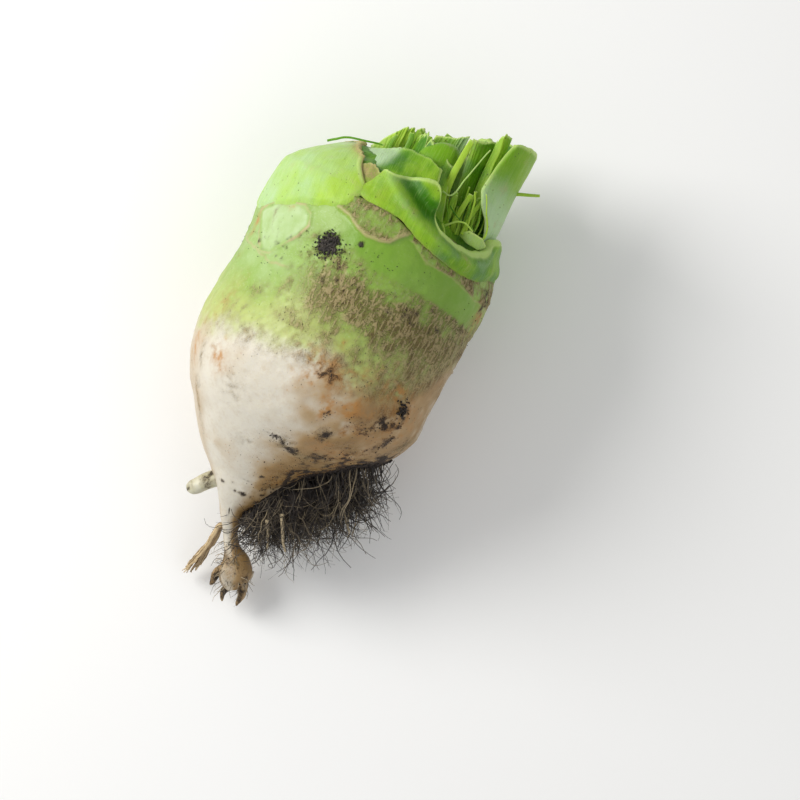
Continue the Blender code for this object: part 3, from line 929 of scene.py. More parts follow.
def glow_through(graph: Graph, weight: float, scale: float, radius: Triple) -> None:
    """Lets light pass a little way under a soft surface.

    Args:
        graph: the material's nodes.
        weight: how much light passes.
        scale: how far, in metres.
        radius: share of each colour.
    """
    graph.shader.inputs["Subsurface Weight"].default_value = weight
    graph.shader.inputs["Subsurface Scale"].default_value = scale
    graph.shader.inputs["Subsurface Radius"].default_value = radius


@dataclass(frozen=True)
class SkinFinish:
    """White root skin that turns green on the shoulder, with cork, stains and dirt, painted shade over its
    lower right and a painted highlight on the left of its green shoulder.
    """

    cream: Colour = paint(211, 205, 190)
    # painted shade: shade and brown darken the lower right of the white skin; shade also gives the white its
    # faint tan mottling
    shade: Colour = paint(170, 139, 90)
    brown: Colour = paint(128, 96, 54)
    pale_green: Colour = paint(174, 186, 102)
    green: Colour = paint(134, 168, 62)
    lime: Colour = paint(108, 154, 26)
    # pad is the pale green of the scar pads and bloom; it is also painted as a highlight on the left of the
    # green shoulder
    pad: Colour = paint(184, 206, 156)
    cork: Colour = paint(97, 76, 33)
    dark_cork: Colour = paint(74, 54, 30)
    rim: Colour = paint(180, 162, 116)
    rust: Colour = paint(178, 124, 56)
    soil: Colour = paint(44, 35, 30)

    def material(self) -> Material:
        """The material of the skin.

        Returns:
            The material.
        """
        graph = Graph("skin finish")
        place = graph.place()
        broad = graph.speckle(place, 17, 3, 0.55)
        middle = graph.speckle(place, 4.5, 3, 0.6)
        small = graph.speckle(place, 1.3, 3, 0.65)
        tiny = graph.speckle(place, 0.5, 2, 0.6)
        web = graph.cells(place, 2.3, "DISTANCE_TO_EDGE")
        fine_web = graph.cells(place, 1.1, "DISTANCE_TO_EDGE")
        dots = graph.cells(place, 2.1)
        kept = {key: graph.kept(key) for key in "green lime pad cork rim rust soil warm".split()}

        wavy = graph.warped(place, 3.6, 0.7)
        fibre_web = graph.cells(graph.scaled(wavy, (1.0, 0.22, 1.0)), 2.0, "DISTANCE_TO_EDGE")
        peppering = graph.cells(graph.scaled(place, (1.0, 0.6, 1.0)), 1.9)

        # painted shade: the warmth mask turns the white tan and then brown over the lower right, mixed with
        # a random warm tone
        white = graph.blend((broad * 0.6 + kept["warm"]).rise(0.3, 1.15), self.cream, self.shade)
        white = graph.blend((middle * 0.5 + small * 0.5).rise(0.46, 0.66) * 0.16, white, self.shade)
        white = graph.blend((kept["warm"] + 0.9 * (broad - 0.5)).rise(0.45, 1.45) * 0.8, white, self.brown)
        freckle = dots.rise(0.24, 0.06) * broad.rise(0.4, 0.6) * 0.55
        white = graph.blend(freckle * kept["warm"].rise(-0.1, 0.4), white, self.rust)
        amount = kept["green"] + (middle - 0.5) * 0.3 * kept["green"].rise(0.0, 0.25)
        tint = graph.blend(amount.rise(0.0, 0.5), white, self.pale_green)
        tint = graph.blend(amount.rise(0.42, 1.0), tint, self.green)
        tint = graph.blend(kept["lime"] * (0.75 + 0.5 * (middle - 0.5)), tint, self.lime)
        # painted highlight: the pad colour also lights the left of the green shoulder
        tint = graph.blend(kept["pad"] * 0.85, tint, self.pad)
        flecks = (small * 0.6 + tiny * 0.5).rise(0.55, 0.8)
        bloom = kept["green"].rise(0.1, 0.5) * flecks * (1 - kept["lime"]) * 0.5
        tint = graph.blend(bloom, tint, self.pad)
        netting = web.rise(0.2, 0.05) * 0.25 + fine_web.rise(0.24, 0.06) * 0.25
        netting = netting + fibre_web.rise(0.2, 0.06) * 0.8
        haze = kept["cork"].rise(0.0, 0.9)
        patchy = 0.62 + 1.7 * (small - 0.5) + 1.0 * (middle - 0.5) + 0.7 * (tiny - 0.5)
        cover = (kept["cork"] * patchy).rise(0.04, 0.8)
        tint = graph.blend(haze * 0.66 + cover * 0.28, tint, self.cork)
        tint = graph.blend(kept["cork"].rise(0.05, 0.8) * tiny.rise(0.48, 0.66) * 0.8, tint, self.dark_cork)
        lines = kept["cork"].rise(0.15, 0.7) * netting.rise(0.35, 0.9) * small.rise(0.36, 0.54)
        tint = graph.blend(lines * 0.6, tint, self.rim)
        tint = graph.blend(kept["rim"].rise(0.1, 0.9) * (0.7 + 0.6 * (small - 0.5)), tint, self.rim)
        stained = (kept["rust"] * (0.75 + 1.1 * (small - 0.42) + 0.7 * (middle - 0.5))).rise(0.0, 0.75)
        tint = graph.blend(stained * 0.85, tint, self.rust)
        dusty = (broad + 0.5 * kept["cork"] + 0.35 * kept["warm"]).rise(0.46, 0.9)
        pepper = peppering.rise(0.16, 0.07) * dusty
        crumbly = 0.5 + 1.3 * (small - 0.4) + 1.3 * (tiny - 0.5)
        dirt = (kept["soil"] * crumbly).rise(0.2, 0.52).largest(pepper * 0.8)
        tint = graph.blend(kept["soil"].rise(0.1, 0.8) * 0.5, tint, self.dark_cork)
        tint = graph.blend(dirt * 0.94, tint, self.soil)
        relief = lines * 0.7 + small * 0.22 + tiny * (0.12 + 0.3 * kept["cork"]) + dirt * 0.8
        normal = graph.bump(relief, 0.0006, 0.75)
        rough = 0.42 + 0.3 * kept["cork"] + 0.3 * dirt + 0.12 * (middle - 0.5)
        glow_through(graph, 0.1, 0.003, (1.0, 0.9, 0.5))
        return graph.finish(Base_Color=tint, Roughness=rough, Normal=normal)


@dataclass(frozen=True)
class LeafFinish:
    """Fresh green of cut leaf bases and stalks, with fibres, pale bloom and papery brown edges."""

    name: str = "leaf finish"
    green: Colour = paint(116, 166, 24)
    # deep is the dark green of the leaves; it is also painted as shade in the collar's hollow, on the inner
    # sides of the leaf bases and on the heart's floor
    deep: Colour = paint(58, 116, 8)
    # pale is the pale bloom; it is also painted as a highlight on the collar's crest
    pale: Colour = paint(186, 214, 168)
    lime: Colour = paint(160, 196, 56)
    # cut is the pale green of the cut flesh; it is also painted as a highlight along the free right edge of
    # the left leaf base
    cut: Colour = paint(196, 222, 128)
    paper: Colour = paint(174, 150, 106)

    def material(self) -> Material:
        """The material of the leaves.

        Returns:
            The material.
        """
        graph = Graph(self.name)
        place = graph.place()
        kept = {key: graph.kept(key) for key in "side rise deep pale lime cut paper".split()}
        fibre_place = graph.stretched(kept["side"], kept["rise"] * 0.09)
        fibres = graph.speckle(fibre_place, 0.55, 2, 0.55)
        bands = graph.speckle(fibre_place, 2.6, 2, 0.5)
        cloud = graph.speckle(place, 7, 3, 0.55)
        grain = graph.speckle(place, 0.6, 2, 0.6)
        spots = graph.cells(place, 3.4)
        tint = graph.blend((kept["deep"] + 0.35 * (cloud - 0.5)).rise(0.05, 0.95), self.green, self.deep)
        tint = graph.blend((kept["lime"] + 0.4 * (bands - 0.5)).rise(0.05, 0.95), tint, self.lime)
        tint = graph.blend((kept["pale"] + 0.3 * (cloud - 0.5)).rise(0.08, 1.0) * 0.85, tint, self.pale)
        tint = graph.blend((fibres - 0.5).rise(0.0, 0.3) * 0.2, tint, self.cut)
        tint = graph.blend((0.5 - fibres).rise(0.0, 0.3) * 0.16, tint, self.deep)
        dusting = (grain - 0.5).rise(0.0, 0.25) * kept["pale"].rise(0.0, 0.8)
        tint = graph.blend(dusting * 0.4, tint, self.pale)
        tint = graph.blend(kept["cut"].rise(0.1, 0.9) * 0.8, tint, self.cut)
        dried = (kept["paper"] * (0.6 + 0.9 * (grain - 0.4))).rise(0.1, 0.8)
        tint = graph.blend(dried * 0.9, tint, self.paper)
        tint = graph.blend(spots.rise(0.13, 0.05) * 0.7, tint, paint(70, 66, 28))
        scuff = (cloud + 0.5 * (grain - 0.5)).rise(0.56, 0.8) * (1 - kept["deep"].rise(0.3, 0.7))
        tint = graph.blend(scuff * 0.3, tint, self.paper)
        normal = graph.bump(fibres * 0.6 + grain * 0.35 + bands * 0.5 + cloud * 1.5, 0.0006, 0.65)
        glow_through(graph, 0.14, 0.003, (0.6, 1.0, 0.2))
        graph.shader.inputs["Specular IOR Level"].default_value = 0.2
        rough = 0.34 + 0.3 * kept["paper"] + 0.14 * grain
        return graph.finish(Base_Color=tint, Roughness=rough, Normal=normal)


@dataclass(frozen=True)
class SoilFinish:
    """Crumbly dark soil."""

    name: str
    dark: Colour = paint(34, 28, 26)
    light: Colour = paint(96, 80, 66)

    def material(self) -> Material:
        """The material of the soil.

        Returns:
            The material.
        """
        graph = Graph(self.name)
        place = graph.place()
        clods = graph.speckle(place, 1.6, 3, 0.65)
        grit = graph.speckle(place, 0.45, 2, 0.6)
        tint = graph.blend((clods * 0.6 + grit * 0.5).rise(0.5, 0.85), self.dark, self.light)
        normal = graph.bump(clods + grit * 0.6, 0.001, 0.9)
        return graph.finish(Base_Color=tint, Roughness=0.9 - 0.12 * grit, Normal=normal)


@dataclass(frozen=True)
class StrandFinish:
    """Rootlets and fibres, each with its own lightness kept along it."""

    name: str
    dark: Colour = paint(34, 28, 26)
    light: Colour = paint(192, 174, 140)
    rough: float = 0.6

    def material(self) -> Material:
        """The material of the strands.

        Returns:
            The material.
        """
        graph = Graph(self.name)
        place = graph.place()
        patch = graph.speckle(place, 2.2, 2, 0.6)
        grain = graph.speckle(place, 0.5, 2, 0.6)
        share = graph.kept("light") + 0.5 * (patch - 0.5)
        tint = graph.blend(share.rise(0.02, 1.0), self.dark, self.light)
        tint = graph.blend((grain - 0.55).rise(0.0, 0.2) * 0.45, tint, self.dark)
        normal = graph.bump(grain + patch, 0.0003, 0.6)
        return graph.finish(Base_Color=tint, Roughness=self.rough + 0.2 * (grain - 0.5), Normal=normal)


@dataclass(frozen=True)
class FloorFinish:
    """A plain pale floor."""

    colour: Colour = paint(249, 249, 248)

    def material(self) -> Material:
        """The material of the floor.

        Returns:
            The material.
        """
        graph = Graph("floor finish")
        place = graph.place()
        tint = graph.blend(graph.speckle(place, 60, 2) * 0.05, self.colour, paint(236, 236, 236))
        return graph.finish(Base_Color=tint, Roughness=0.7)


@dataclass
class SwollenRoot:
    """The swollen root with its tap root and the stubs of its side roots."""

    sides: int = 384
    front_crowding: float = 0.3  # columns crowd towards the side that faces up
    rings: Rows = ((-119.8, -104.0, 24), (-104.0, -60.0, 50), (-60.0, -30.0, 44), (-30.0, SKIN_TOP, 129))
    stubs: tuple[tuple[tuple[float, ...], tuple[float, ...], float, float], ...] = (
        ((-74.0, -11.0, -9.0), (-89.5, -25.0, -12.5), 4.1, 3.2),
        ((-110.0, 11.5, -28.0), (-125.0, 17.8, -31.5), 3.6, 0.7),
        ((-112.0, 8.5, -28.5), (-126.0, 11.0, -31.5), 3.2, 0.6),
        ((-109.0, 6.9, -27.0), (-122.0, 2.4, -30.0), 3.4, 0.9),
    )

    def heights(self) -> Array:
        """Heights of the rings along the root."""
        runs = [np.linspace(low, high, int(count), endpoint=False) for low, high, count in self.rings]
        return np.concatenate(runs + [np.array([SKIN_TOP])])

    def turns(self) -> Array:
        """Turns of the columns, closer together where the root faces up."""
        even = np.linspace(-math.pi, math.pi, self.sides, endpoint=False)
        return np.degrees(even - self.front_crowding * np.sin(even))

    def looks(self, turn: Array, along: Array, spots: Array) -> dict[str, Array]:
        """How green, corky and dirty each spot of the skin is, how much painted shade and painted highlight
        it has, and its fine relief.

        Args:
            turn: degrees at each spot.
            along: final height at each spot.
            spots: points for the uneven fields.

        Returns:
            Numbers at each spot by name; `relief` is in mm.
        """
        rough, fine = FORM.rough, FORM.fine
        broad = rough.layered(spots, 18, 3)
        medium = rough.layered(spots + 90, 6, 3)
        small = fine.layered(spots, 2.4, 3)
        front = np.exp(-((turn / 75) ** 4))
        above_rest = ease((178 - np.abs(turn)) / 50)

        border = BORDER.along(turn) + 4.5 * broad + 2.4 * medium
        green = 0.6 * ease((along - border + 11) / 28) + 0.4 * ease((along - border - 10) / 30)
        green *= 1 - 0.25 * ramp(turn, 55, 40) * fall(along, 25, 20) * above_rest

        top, foot = CORK_TOP.along(turn), CORK_FOOT.along(turn)
        sway = 3.0 * medium + 1.6 * small
        net = ease((along - foot + sway + 8) / 17) * ease((top - along + sway + 3.5) / 8)
        strength = 0.3 + 0.7 * ramp(turn, -34, 34) * above_rest
        strength *= 0.85 + 0.2 * np.sin(np.radians(turn * 3 + 40)) * ramp(turn, 90, 20)
        cork = net * strength * (0.98 + 0.16 * broad + 0.18 * medium)
        haze = ease((along - BORDER.along(turn) + 14) / 16) * fall(along, 40, 16)
        veil = 0.3 + 0.2 * medium + 0.15 * small + 0.36 * ramp(turn, 6, 42) * above_rest
        cork = np.maximum(cork, haze * veil * (0.5 + 0.5 * ramp(turn, -70, 40) * above_rest))

        band_low, band_high = BAND_FOOT.along(turn), BAND_TOP.along(turn)
        in_band = BAND_FOOT.reach(turn) * ease((along - band_low) / 3)
        in_band = in_band * ease((band_high - along) / 1.5 + 1)
        crescent_line = CRESCENT.along(turn)
        under = np.where(turn < 14, crescent_line, band_high)
        lime = BAND_FOOT.reach(turn, 14) * ease((along - band_low + 2) / 5)
        lime *= ease((under - along + 0.6) / 1.4)
        lime *= 0.85 - 0.3 * ramp(turn, 45, 40) + 0.2 * medium
        cork *= 1 - 0.75 * in_band
        near_sheath = FRONT_SHEATH.along(turn)
        above = ease((along - under) / 1.0 + 0.3) * ease((near_sheath + 2 - along) / 2)
        above *= ramp(turn, -27, 6) * fall(turn, 100, 14)
        patchy = above * (0.5 + 0.35 * medium + 0.2 * small)
        cork = np.maximum(cork, patchy * (1 + 0.35 * ramp(turn, 20, 20)))
        pad_spot = np.exp(-(((turn + 5) / 9) ** 2) - ((along - 44.6) / 3.0) ** 2)
        cork *= 1 - 0.55 * pad_spot

        scar, rims = FORM.scar_relief(along, turn)
        rims *= 1 - 0.8 * front * ease((60 - np.abs(turn - 10)) / 10)
        relief = scar + 0.42 * broad + 0.16 * medium

        rim = 0.8 * rims * (0.7 + 0.5 * medium)
        offset = CRESCENT.distance(turn, along)
        lip = hump(offset / 0.95)
        over = ease((along - crescent_line) / 2) * CRESCENT.reach(turn, 5) * (along < 54)
        relief += 1.05 * lip + 0.35 * over
        rim = np.maximum(rim, lip * (0.95 + 0.3 * small))
        step = along - (BAND_TOP.along(turn) + 0.5 * small)
        terrace = BAND_TOP.reach(turn, 5) * ease(step / 1.2) * np.exp(-np.clip(step, 0, None) / 5)
        relief += 0.7 * terrace
        rim = np.maximum(rim, 0.5 * BAND_TOP.reach(turn, 5) * hump(step / 0.8))
        step = along - (BAND_FOOT.along(turn) + 0.8 * small)
        groove = ease(-step / 1.4) * np.exp(-np.clip(-step, 0, None) / 6)
        relief -= 0.4 * BAND_FOOT.reach(turn, 8) * groove
        edge = SHIELD.distance(turn, along + 0.4 * small)
        inside = SHIELD.encloses(turn, along) & (edge > 0.05)
        relief += 0.7 * hump(edge / 0.9) + np.where(inside, 0.35 * ease(edge / 3), 0)
        rim = np.maximum(rim, 1.0 * hump(edge / 0.75) * (0.65 + 0.6 * medium))
        pad = np.where(inside, ease(edge / 2.5), 0.0) * (0.75 + 0.3 * medium)
        # painted highlight: the left of the green shoulder, towards the light, gets the pale pad colour and
        # loses its cork
        pale = fall(turn, -24, 26) * ramp(along, -4, 14) * front
        pad = np.maximum(pad, pale * (0.5 + 0.3 * medium))
        cork *= 1 - 0.75 * ease(pad / 0.4)
        step = along - (LEFT_RIDGE.along(turn) + 0.6 * small)
        relief += 0.4 * LEFT_RIDGE.reach(turn, 8) * hump(step / 1.6)
        rim = np.maximum(rim, 0.65 * LEFT_RIDGE.reach(turn, 8) * hump((step + 0.9) / 0.8))

        crease = np.zeros_like(along)
        for middle, height, half_length, half_width in CRACKS:
            off = (turn - middle) * ARC + 0.6 * small + 0.25 * (along - height)
            crease += hump(off / half_width) * np.exp(-(((along - height) / half_length) ** 4))
        relief -= 0.35 * np.clip(crease, 0, 1)
        rim = np.maximum(rim, 0.75 * np.clip(crease, 0, 1))
        creased = np.zeros_like(along)
        for middle, height, half_width, slope in WRINKLES:
            off = (turn - middle + 180) % 360 - 180
            line = along - height - slope * off + 0.7 * medium
            depth = hump(line / 0.45) * np.exp(-((off / half_width) ** 4))
            relief -= 0.3 * depth
            cork = np.maximum(cork, 0.65 * depth * (0.6 + 0.5 * small))
            creased = np.maximum(creased, 0.62 * depth * (0.75 + 1.1 * small))

        soil, rust = creased, np.zeros_like(along)
        # painted shade: the lower right of the white skin, away from the light, is darkened to tan and
        # brown; the warmth mask adds this shade to a random warm tone and to the warm tone of the left side
        # and the tail
        shaded = ramp(turn, -10, 50) * ease((BORDER.along(turn) + 16 - along) / 18) * above_rest
        shaded *= (1 - 0.4 * ramp(turn, 64, 34)) * (0.86 + 0.2 * medium + 0.2 * broad)
        warm = 0.3 * np.clip(broad, 0, 1) + shaded
        warm += 0.35 * fall(turn, -45, 25) * above_rest + 0.25 * fall(along, -104, 6)
        marks = [(stain, row) for stain, rows in MARKS.items() for row in rows]
        for stain, (middle, height, wide, tall, strength) in marks:
            sideways = ((turn - middle + 180) % 360 - 180) * ARC
            reach = (sideways / wide) ** 2 + ((along - height) / tall) ** 2
            amount = strength * np.exp(-np.clip(reach * (1 + 0.6 * medium), 0, None) ** 0.7)
            amount *= 0.95 + 0.8 * small
            if stain is Stain.SOIL:
                soil = np.maximum(soil, amount)
            elif stain is Stain.RUST:
                rust = np.maximum(rust, amount)
            else:
                cork = np.maximum(cork, 0.75 * amount)
                soil = np.maximum(soil, 0.4 * amount)
        fringe = hump((turn - 70) / 36) * fall(along, -30, 18) * ramp(along, -92, 10)
        cork = np.maximum(cork, 0.85 * fringe * (0.75 + 0.6 * medium))
        rust = np.maximum(rust, 0.6 * fringe * (0.7 + 0.6 * medium))
        soil = np.maximum(soil, 0.85 * fringe**1.3 * (0.7 + 1.0 * small + 0.3 * medium))
        edge_turn = np.interp(along, *TUFT_EDGE)
        caked = ease((turn - edge_turn + 5 * small + 6) / 9) * fall(turn, 150, 20)
        brink = -37 - 0.3 * np.clip(turn - 88, 0, None) + 4 * medium
        caked *= ramp(along, -88, 6) * ease((brink - along) / 6)
        soil = np.maximum(soil, 1.25 * caked)
        shoulder = ramp(along, 6, 10) * fall(along, 30, 8)
        soil = np.maximum(soil, 0.42 * shoulder * (0.4 + 0.8 * small + 0.4 * medium) * (0.55 + 0.45 * front))
        right = ramp(turn, 52, 30) * fall(turn, 150, 40) * ramp(along, -44, 20)
        right *= 0.5 + 0.5 * ease((along - BORDER.along(turn) + 8) / 16)
        cork = np.maximum(cork, 0.62 * right * fall(along, 34, 8) * (0.8 + 0.5 * medium))
        knob = fall(along, -105, 3)
        soil = np.maximum(soil, 0.4 * knob * (0.5 + 0.9 * small))
        rust = np.maximum(rust, 0.18 * knob * (0.7 + 0.9 * medium))
        cork = np.maximum(cork, 0.35 * knob * (0.8 + 0.8 * medium))
        tail = fall(along, -84, 6)
        soil = np.maximum(soil, 0.26 * tail * (0.4 + 1.3 * medium + 0.4 * small))
        rust = np.maximum(rust, 0.14 * tail * (0.3 + 1.0 * broad))

        covered = FRONT_SHEATH.reach(turn) * ease((along - FRONT_SHEATH.along(turn) + 1.5) / 2.0)
        relief -= covered * (relief + 0.3)
        relief += 0.11 * np.clip(cork, 0, 1) * small + 0.035 * small
        relief += 0.25 * np.clip(soil - 0.5, 0, 1) * (1 + small)
        ridged = 1 - np.abs(fine.at(spots, 2.9)) * 2.4
        relief += 0.1 * np.clip(ridged, 0, 1) * np.clip(cork, 0, 1)
        relief *= ramp(along, -125, 30) * 0.75 + 0.25
        kept = {"green": green, "lime": lime, "pad": pad, "cork": cork, "rim": rim, "rust": rust}
        kept |= {"soil": soil, "warm": warm}
        return {"relief": relief} | {
            key: np.clip(number, 0, 1.3 if key == "soil" else 1) for key, number in kept.items()
        }

    def build(self) -> Piece:
        """The skin as one closed mesh.

        Returns:
            The skin.
        """
        heights, turns = self.heights(), self.turns()
        plain = FORM.skin_points(heights, turns, 0.0)
        turn = np.broadcast_to(turns, plain.shape[:2])
        looks = self.looks(turn, plain[..., 0], plain)
        points = FORM.skin_points(heights, turns, looks.pop("relief"))
        crown, shape = [], FORM.spine_at(np.array([SKIN_TOP]))[0]
        ledge, around = FORM.ledge_at(turns), np.radians(turns)
        for rise, share in CROWN:
            radius = 46.0 * share * (1 + FORM.lumps(np.array(SKIN_TOP), turns))
            height = ledge + (62.0 - ledge) * rise / 13.0
            across, up = shape[0] + radius * np.sin(around), shape[1] + radius * np.cos(around)
            crown.append(np.column_stack([height, across, up]))
        points = np.concatenate([points, np.array(crown)])
        added = ((0, len(CROWN)), (0, 0))
        values = {key: np.pad(number, added, "edge").ravel() for key, number in looks.items()}
        faces = ring_faces(len(points), self.sides)
        return mesh_piece("root_skin", above_floor(points.reshape(-1, 3)), faces, values)

    def build_stubs(self) -> Piece:
        """The stubs of the thick side roots, with cut or broken ends.

        Returns:
            The stubs.
        """
        sides, steps = 28, 26
        all_points, all_faces, kept = [], [], {"warm": [], "green": [], "soil": [], "cork": []}
        for number, (foot, tip, foot_radius, tip_radius) in enumerate(self.stubs):
            foot_point, tip_point = np.array(foot), np.array(tip)
            shares = np.linspace(0, 1, steps)
            path = foot_point + shares[:, None] * (tip_point - foot_point)
            path[:, 1] += 1.2 * np.sin(shares * 3 + number) + 0.5 * np.sin(shares * 9 + 2 * number)
            radii = foot_radius + (tip_radius - foot_radius) * shares
            radii[-3:] *= (0.94, 0.78, 0.45)
            tangents = unit(np.gradient(path, axis=0))
            side = unit(np.cross(tangents, [0.3, 0.5, 0.81]))
            other = np.cross(tangents, side)
            around = circle(sides)
            rings = path[:, None] + radii[:, None, None] * (
                np.cos(around)[:, None] * side[:, None] + np.sin(around)[:, None] * other[:, None]
            )
            bumpy = FORM.fine.layered(rings + number * 31, 2.5, 3)[..., None]
            rings = path[:, None] + (rings - path[:, None]) * (1 + (0.12 if number else 0.05) * bumpy)
            start = sum(len(block) for block in all_points)
            all_points.append(rings.reshape(-1, 3))
            all_faces += [tuple(n + start for n in face) for face in ring_faces(steps, sides)]
            grime = FORM.rough.layered(rings + 5, 4, 3)
            kept["warm"].append((0.2 + 0.3 * grime + 0.35 * (number > 0)).ravel())
            kept["green"].append(np.full(grime.size, 0.0 if number else 0.14))
            kept["soil"].append((0.26 + 0.5 * grime).ravel())
            kept["cork"].append((0.1 + 0.25 * grime).ravel())
        points = above_floor(np.vstack(all_points))
        values = {key: np.clip(np.concatenate(blocks), 0, 1) for key, blocks in kept.items()}
        blank = np.zeros(len(points))
        values |= {key: blank for key in ("lime", "pad", "rim", "rust")}
        return mesh_piece("side_root_stubs", points, all_faces, values)

    def dress(self) -> list[Piece]:
        """Builds and paints the root.

        Returns:
            The skin and the stubs.
        """
        skin, stubs = self.build(), self.build_stubs()
        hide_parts("root_body")
        return attach([skin, stubs], SkinFinish().material())


PROFILE_LEFT: Rows = (
    (40.0, 51.4), (48.0, 50.6), (54.0, 49.8), (58.8, 46.5), (64.0, 40.5), (70.4, 31.0), (75.7, 20.5),
    (80.0, 15.0), (104.0, 13.0),
)
PROFILE_RIGHT: Rows = (
    (40.0, 51.6), (48.0, 50.8), (54.0, 49.6), (58.8, 48.6), (64.0, 48.3), (70.4, 48.0), (75.7, 48.0),
    (80.0, 48.0), (104.0, 48.3),
)


@dataclass(frozen=True)
class Tones:
    """Colour of a leaf from its left edge to its right edge, each number from 0 to 1."""

    deep: tuple[float, ...] = (0.2, 0.2, 0.2)
    pale: tuple[float, ...] = (0.1, 0.1, 0.1)
    lime: tuple[float, ...] = (0.3, 0.3, 0.3)

    def over(self, across: Array) -> list[Array]:
        """The three tones at places from -1 to 1 across the leaf."""
        rows = (self.deep, self.pale, self.lime)
        return [np.interp(across, np.linspace(-1, 1, len(row)), row) for row in rows]


@dataclass(frozen=True)
class LeafBase:
    """A cut leaf base that wraps part of the crown."""

    name: str
    node: str
    base: Pair  # turns of its two edges at the foot
    top: Pair  # and at the cut
    inset: float
    thickness: tuple[float, ...]  # from one edge to the other
    cuts: tuple[float, ...] | Line  # heights of its cut, from one edge to the other or as a line
    tones: Tones = Tones()
    sheath: Line | None = None  # lower edge of the part that lies over the skin
    ragged: float = 0.5  # mm
    ribs: float = 0.25  # mm
    shreds: int = 0  # deep tears of the cut edge
    shred_depth: float = 8.0
    paper: float = 0.0  # how brown and dry its upper edge is
    collar: Line | None = None  # a thick ridge that runs over it, with a hollow above
    left_edge: Rows = ()  # height and turn of its left edge, where that isn't straight
    right_edge: Rows = ()
    dry: float = 0.0  # how brown and dry all of it is
    light_rim: float = 0.75  # how much lighter it is by the cut
    pale_below: float = 200.0  # height above which its pale bloom fades
    swing: float = 0.0  # mm that its left edge stands further out

    def grid_size(self) -> tuple[int, int]:
        """Columns and rows of its outer side."""
        arc = math.radians(self.base[1] - self.base[0]) * (46 - self.inset)
        return max(30, round(arc / 0.75)), 44

    def envelope(self, height: Array, turn: Array) -> Array:
        """Outermost radius of the leaf bases.

        Args:
            height: in mm.
            turn: in degrees.

        Returns:
            The radius in mm.
        """
        left = np.interp(height, *np.array(PROFILE_LEFT).T)
        right = np.interp(height, *np.array(PROFILE_RIGHT).T)
        return left + (right - left) * (0.5 + 0.5 * np.sin(np.radians(turn)))

    def cut_heights(self, across: Array, seed: int) -> Array:
        """Height of the cut at each column, with its raggedness and tears.

        Args:
            across: from -1 to 1 over the columns.
            seed: for its tears.

        Returns:
            Heights in mm.
        """
        if isinstance(self.cuts, Line):
            tops = self.cuts.along(self.top[0] + (self.top[1] - self.top[0]) * (across + 1) / 2)
            tops = np.convolve(np.pad(tops, 2, "edge"), (0.1, 0.2, 0.4, 0.2, 0.1), "valid")
        else:
            tops = np.interp(across, np.linspace(-1, 1, len(self.cuts)), self.cuts)
        draw = np.random.default_rng(seed)
        spots = np.column_stack([across * 40, np.full_like(across, seed * 7.7), np.zeros_like(across)])
        tops = tops + self.ragged * FORM.fine.layered(spots, 3.0, 3)
        for _ in range(self.shreds):
            middle, wide = draw.uniform(-0.85, 0.85), draw.uniform(0.03, 0.09)
            depth = self.shred_depth * draw.uniform(0.4, 1.0)
            tops -= depth * np.exp(-np.abs((across - middle) / wide) ** 1.4)
        return tops

    def build(self) -> Piece:
        """The leaf base as a closed shell with a rounded cut edge.

        Returns:
            The leaf base.
        """
        columns, rows = self.grid_size()
        seed = sum(ord(letter) for letter in self.name)
        across = np.linspace(-1, 1, columns + 1)
        tops = self.cut_heights(across, seed)
        wall = np.interp(across, np.linspace(-1, 1, len(self.thickness)), self.thickness)
        wall = wall * np.sqrt(np.clip(1 - 0.93 * np.abs(across) ** 5, 0.02, 1))
        share = np.linspace(0, 1, rows) ** 0.9
        turn_foot = self.base[0] + (self.base[1] - self.base[0]) * (across + 1) / 2
        ledge = FORM.ledge_at(turn_foot)
        foot = self.sheath.along(turn_foot) - 1.0 if self.sheath else ledge - 2.0 + self.inset * 0.5
        foot = foot + 0.35 * FORM.fine.layered(np.column_stack([turn_foot, foot, across * 0]), 5, 2)
        rise = share[:, None]
        narrowing = ease(rise * 1.3)
        low = self.base[0] + (self.top[0] - self.base[0]) * narrowing
        high = self.base[1] + (self.top[1] - self.base[1]) * narrowing
        height = foot + (tops - foot) * rise
        if self.left_edge:
            low = np.interp(height[:, :1], *np.array(self.left_edge).T)
        if self.right_edge:
            high = np.interp(height[:, -1:], *np.array(self.right_edge).T)
        turn = low + (high - low) * (across[None, :] + 1) / 2
        radius = np.maximum(self.envelope(height, turn) - self.inset, 5.5)
        radius = radius + self.swing * (0.5 - 0.5 * across) ** 2
        centre = np.zeros(height.shape + (2,))
        if self.sheath:
            shape = FORM.spine_at(np.minimum(height, SKIN_TOP))
            skin = shape[..., 2] * (1 + FORM.lumps(height, turn))
            lip = -0.5 + 1.7 * ease((height - foot) / 4.5)
            clinging = fall(height, 56.0, 9.0)
            radius = radius + (skin + lip - radius) * clinging
            centre = shape[..., :2] * clinging[..., None]
        side_mm = np.radians(turn) * radius
        around = np.radians(turn)

        def sheet(size: Array) -> Array:
            """Points at a radius."""
            right, up = centre[..., 0] + size * np.sin(around), centre[..., 1] + size * np.cos(around)
            return np.stack([height, right, up], axis=-1)

        radius = radius - 0.9 * ease((np.abs(across)[None, :] - 0.93) / 0.07)
        fold_shade_and_highlight = np.zeros((2,) + height.shape)
        if self.collar:
            above = height - self.collar.along(turn)
            reach = self.collar.reach(turn, 10)
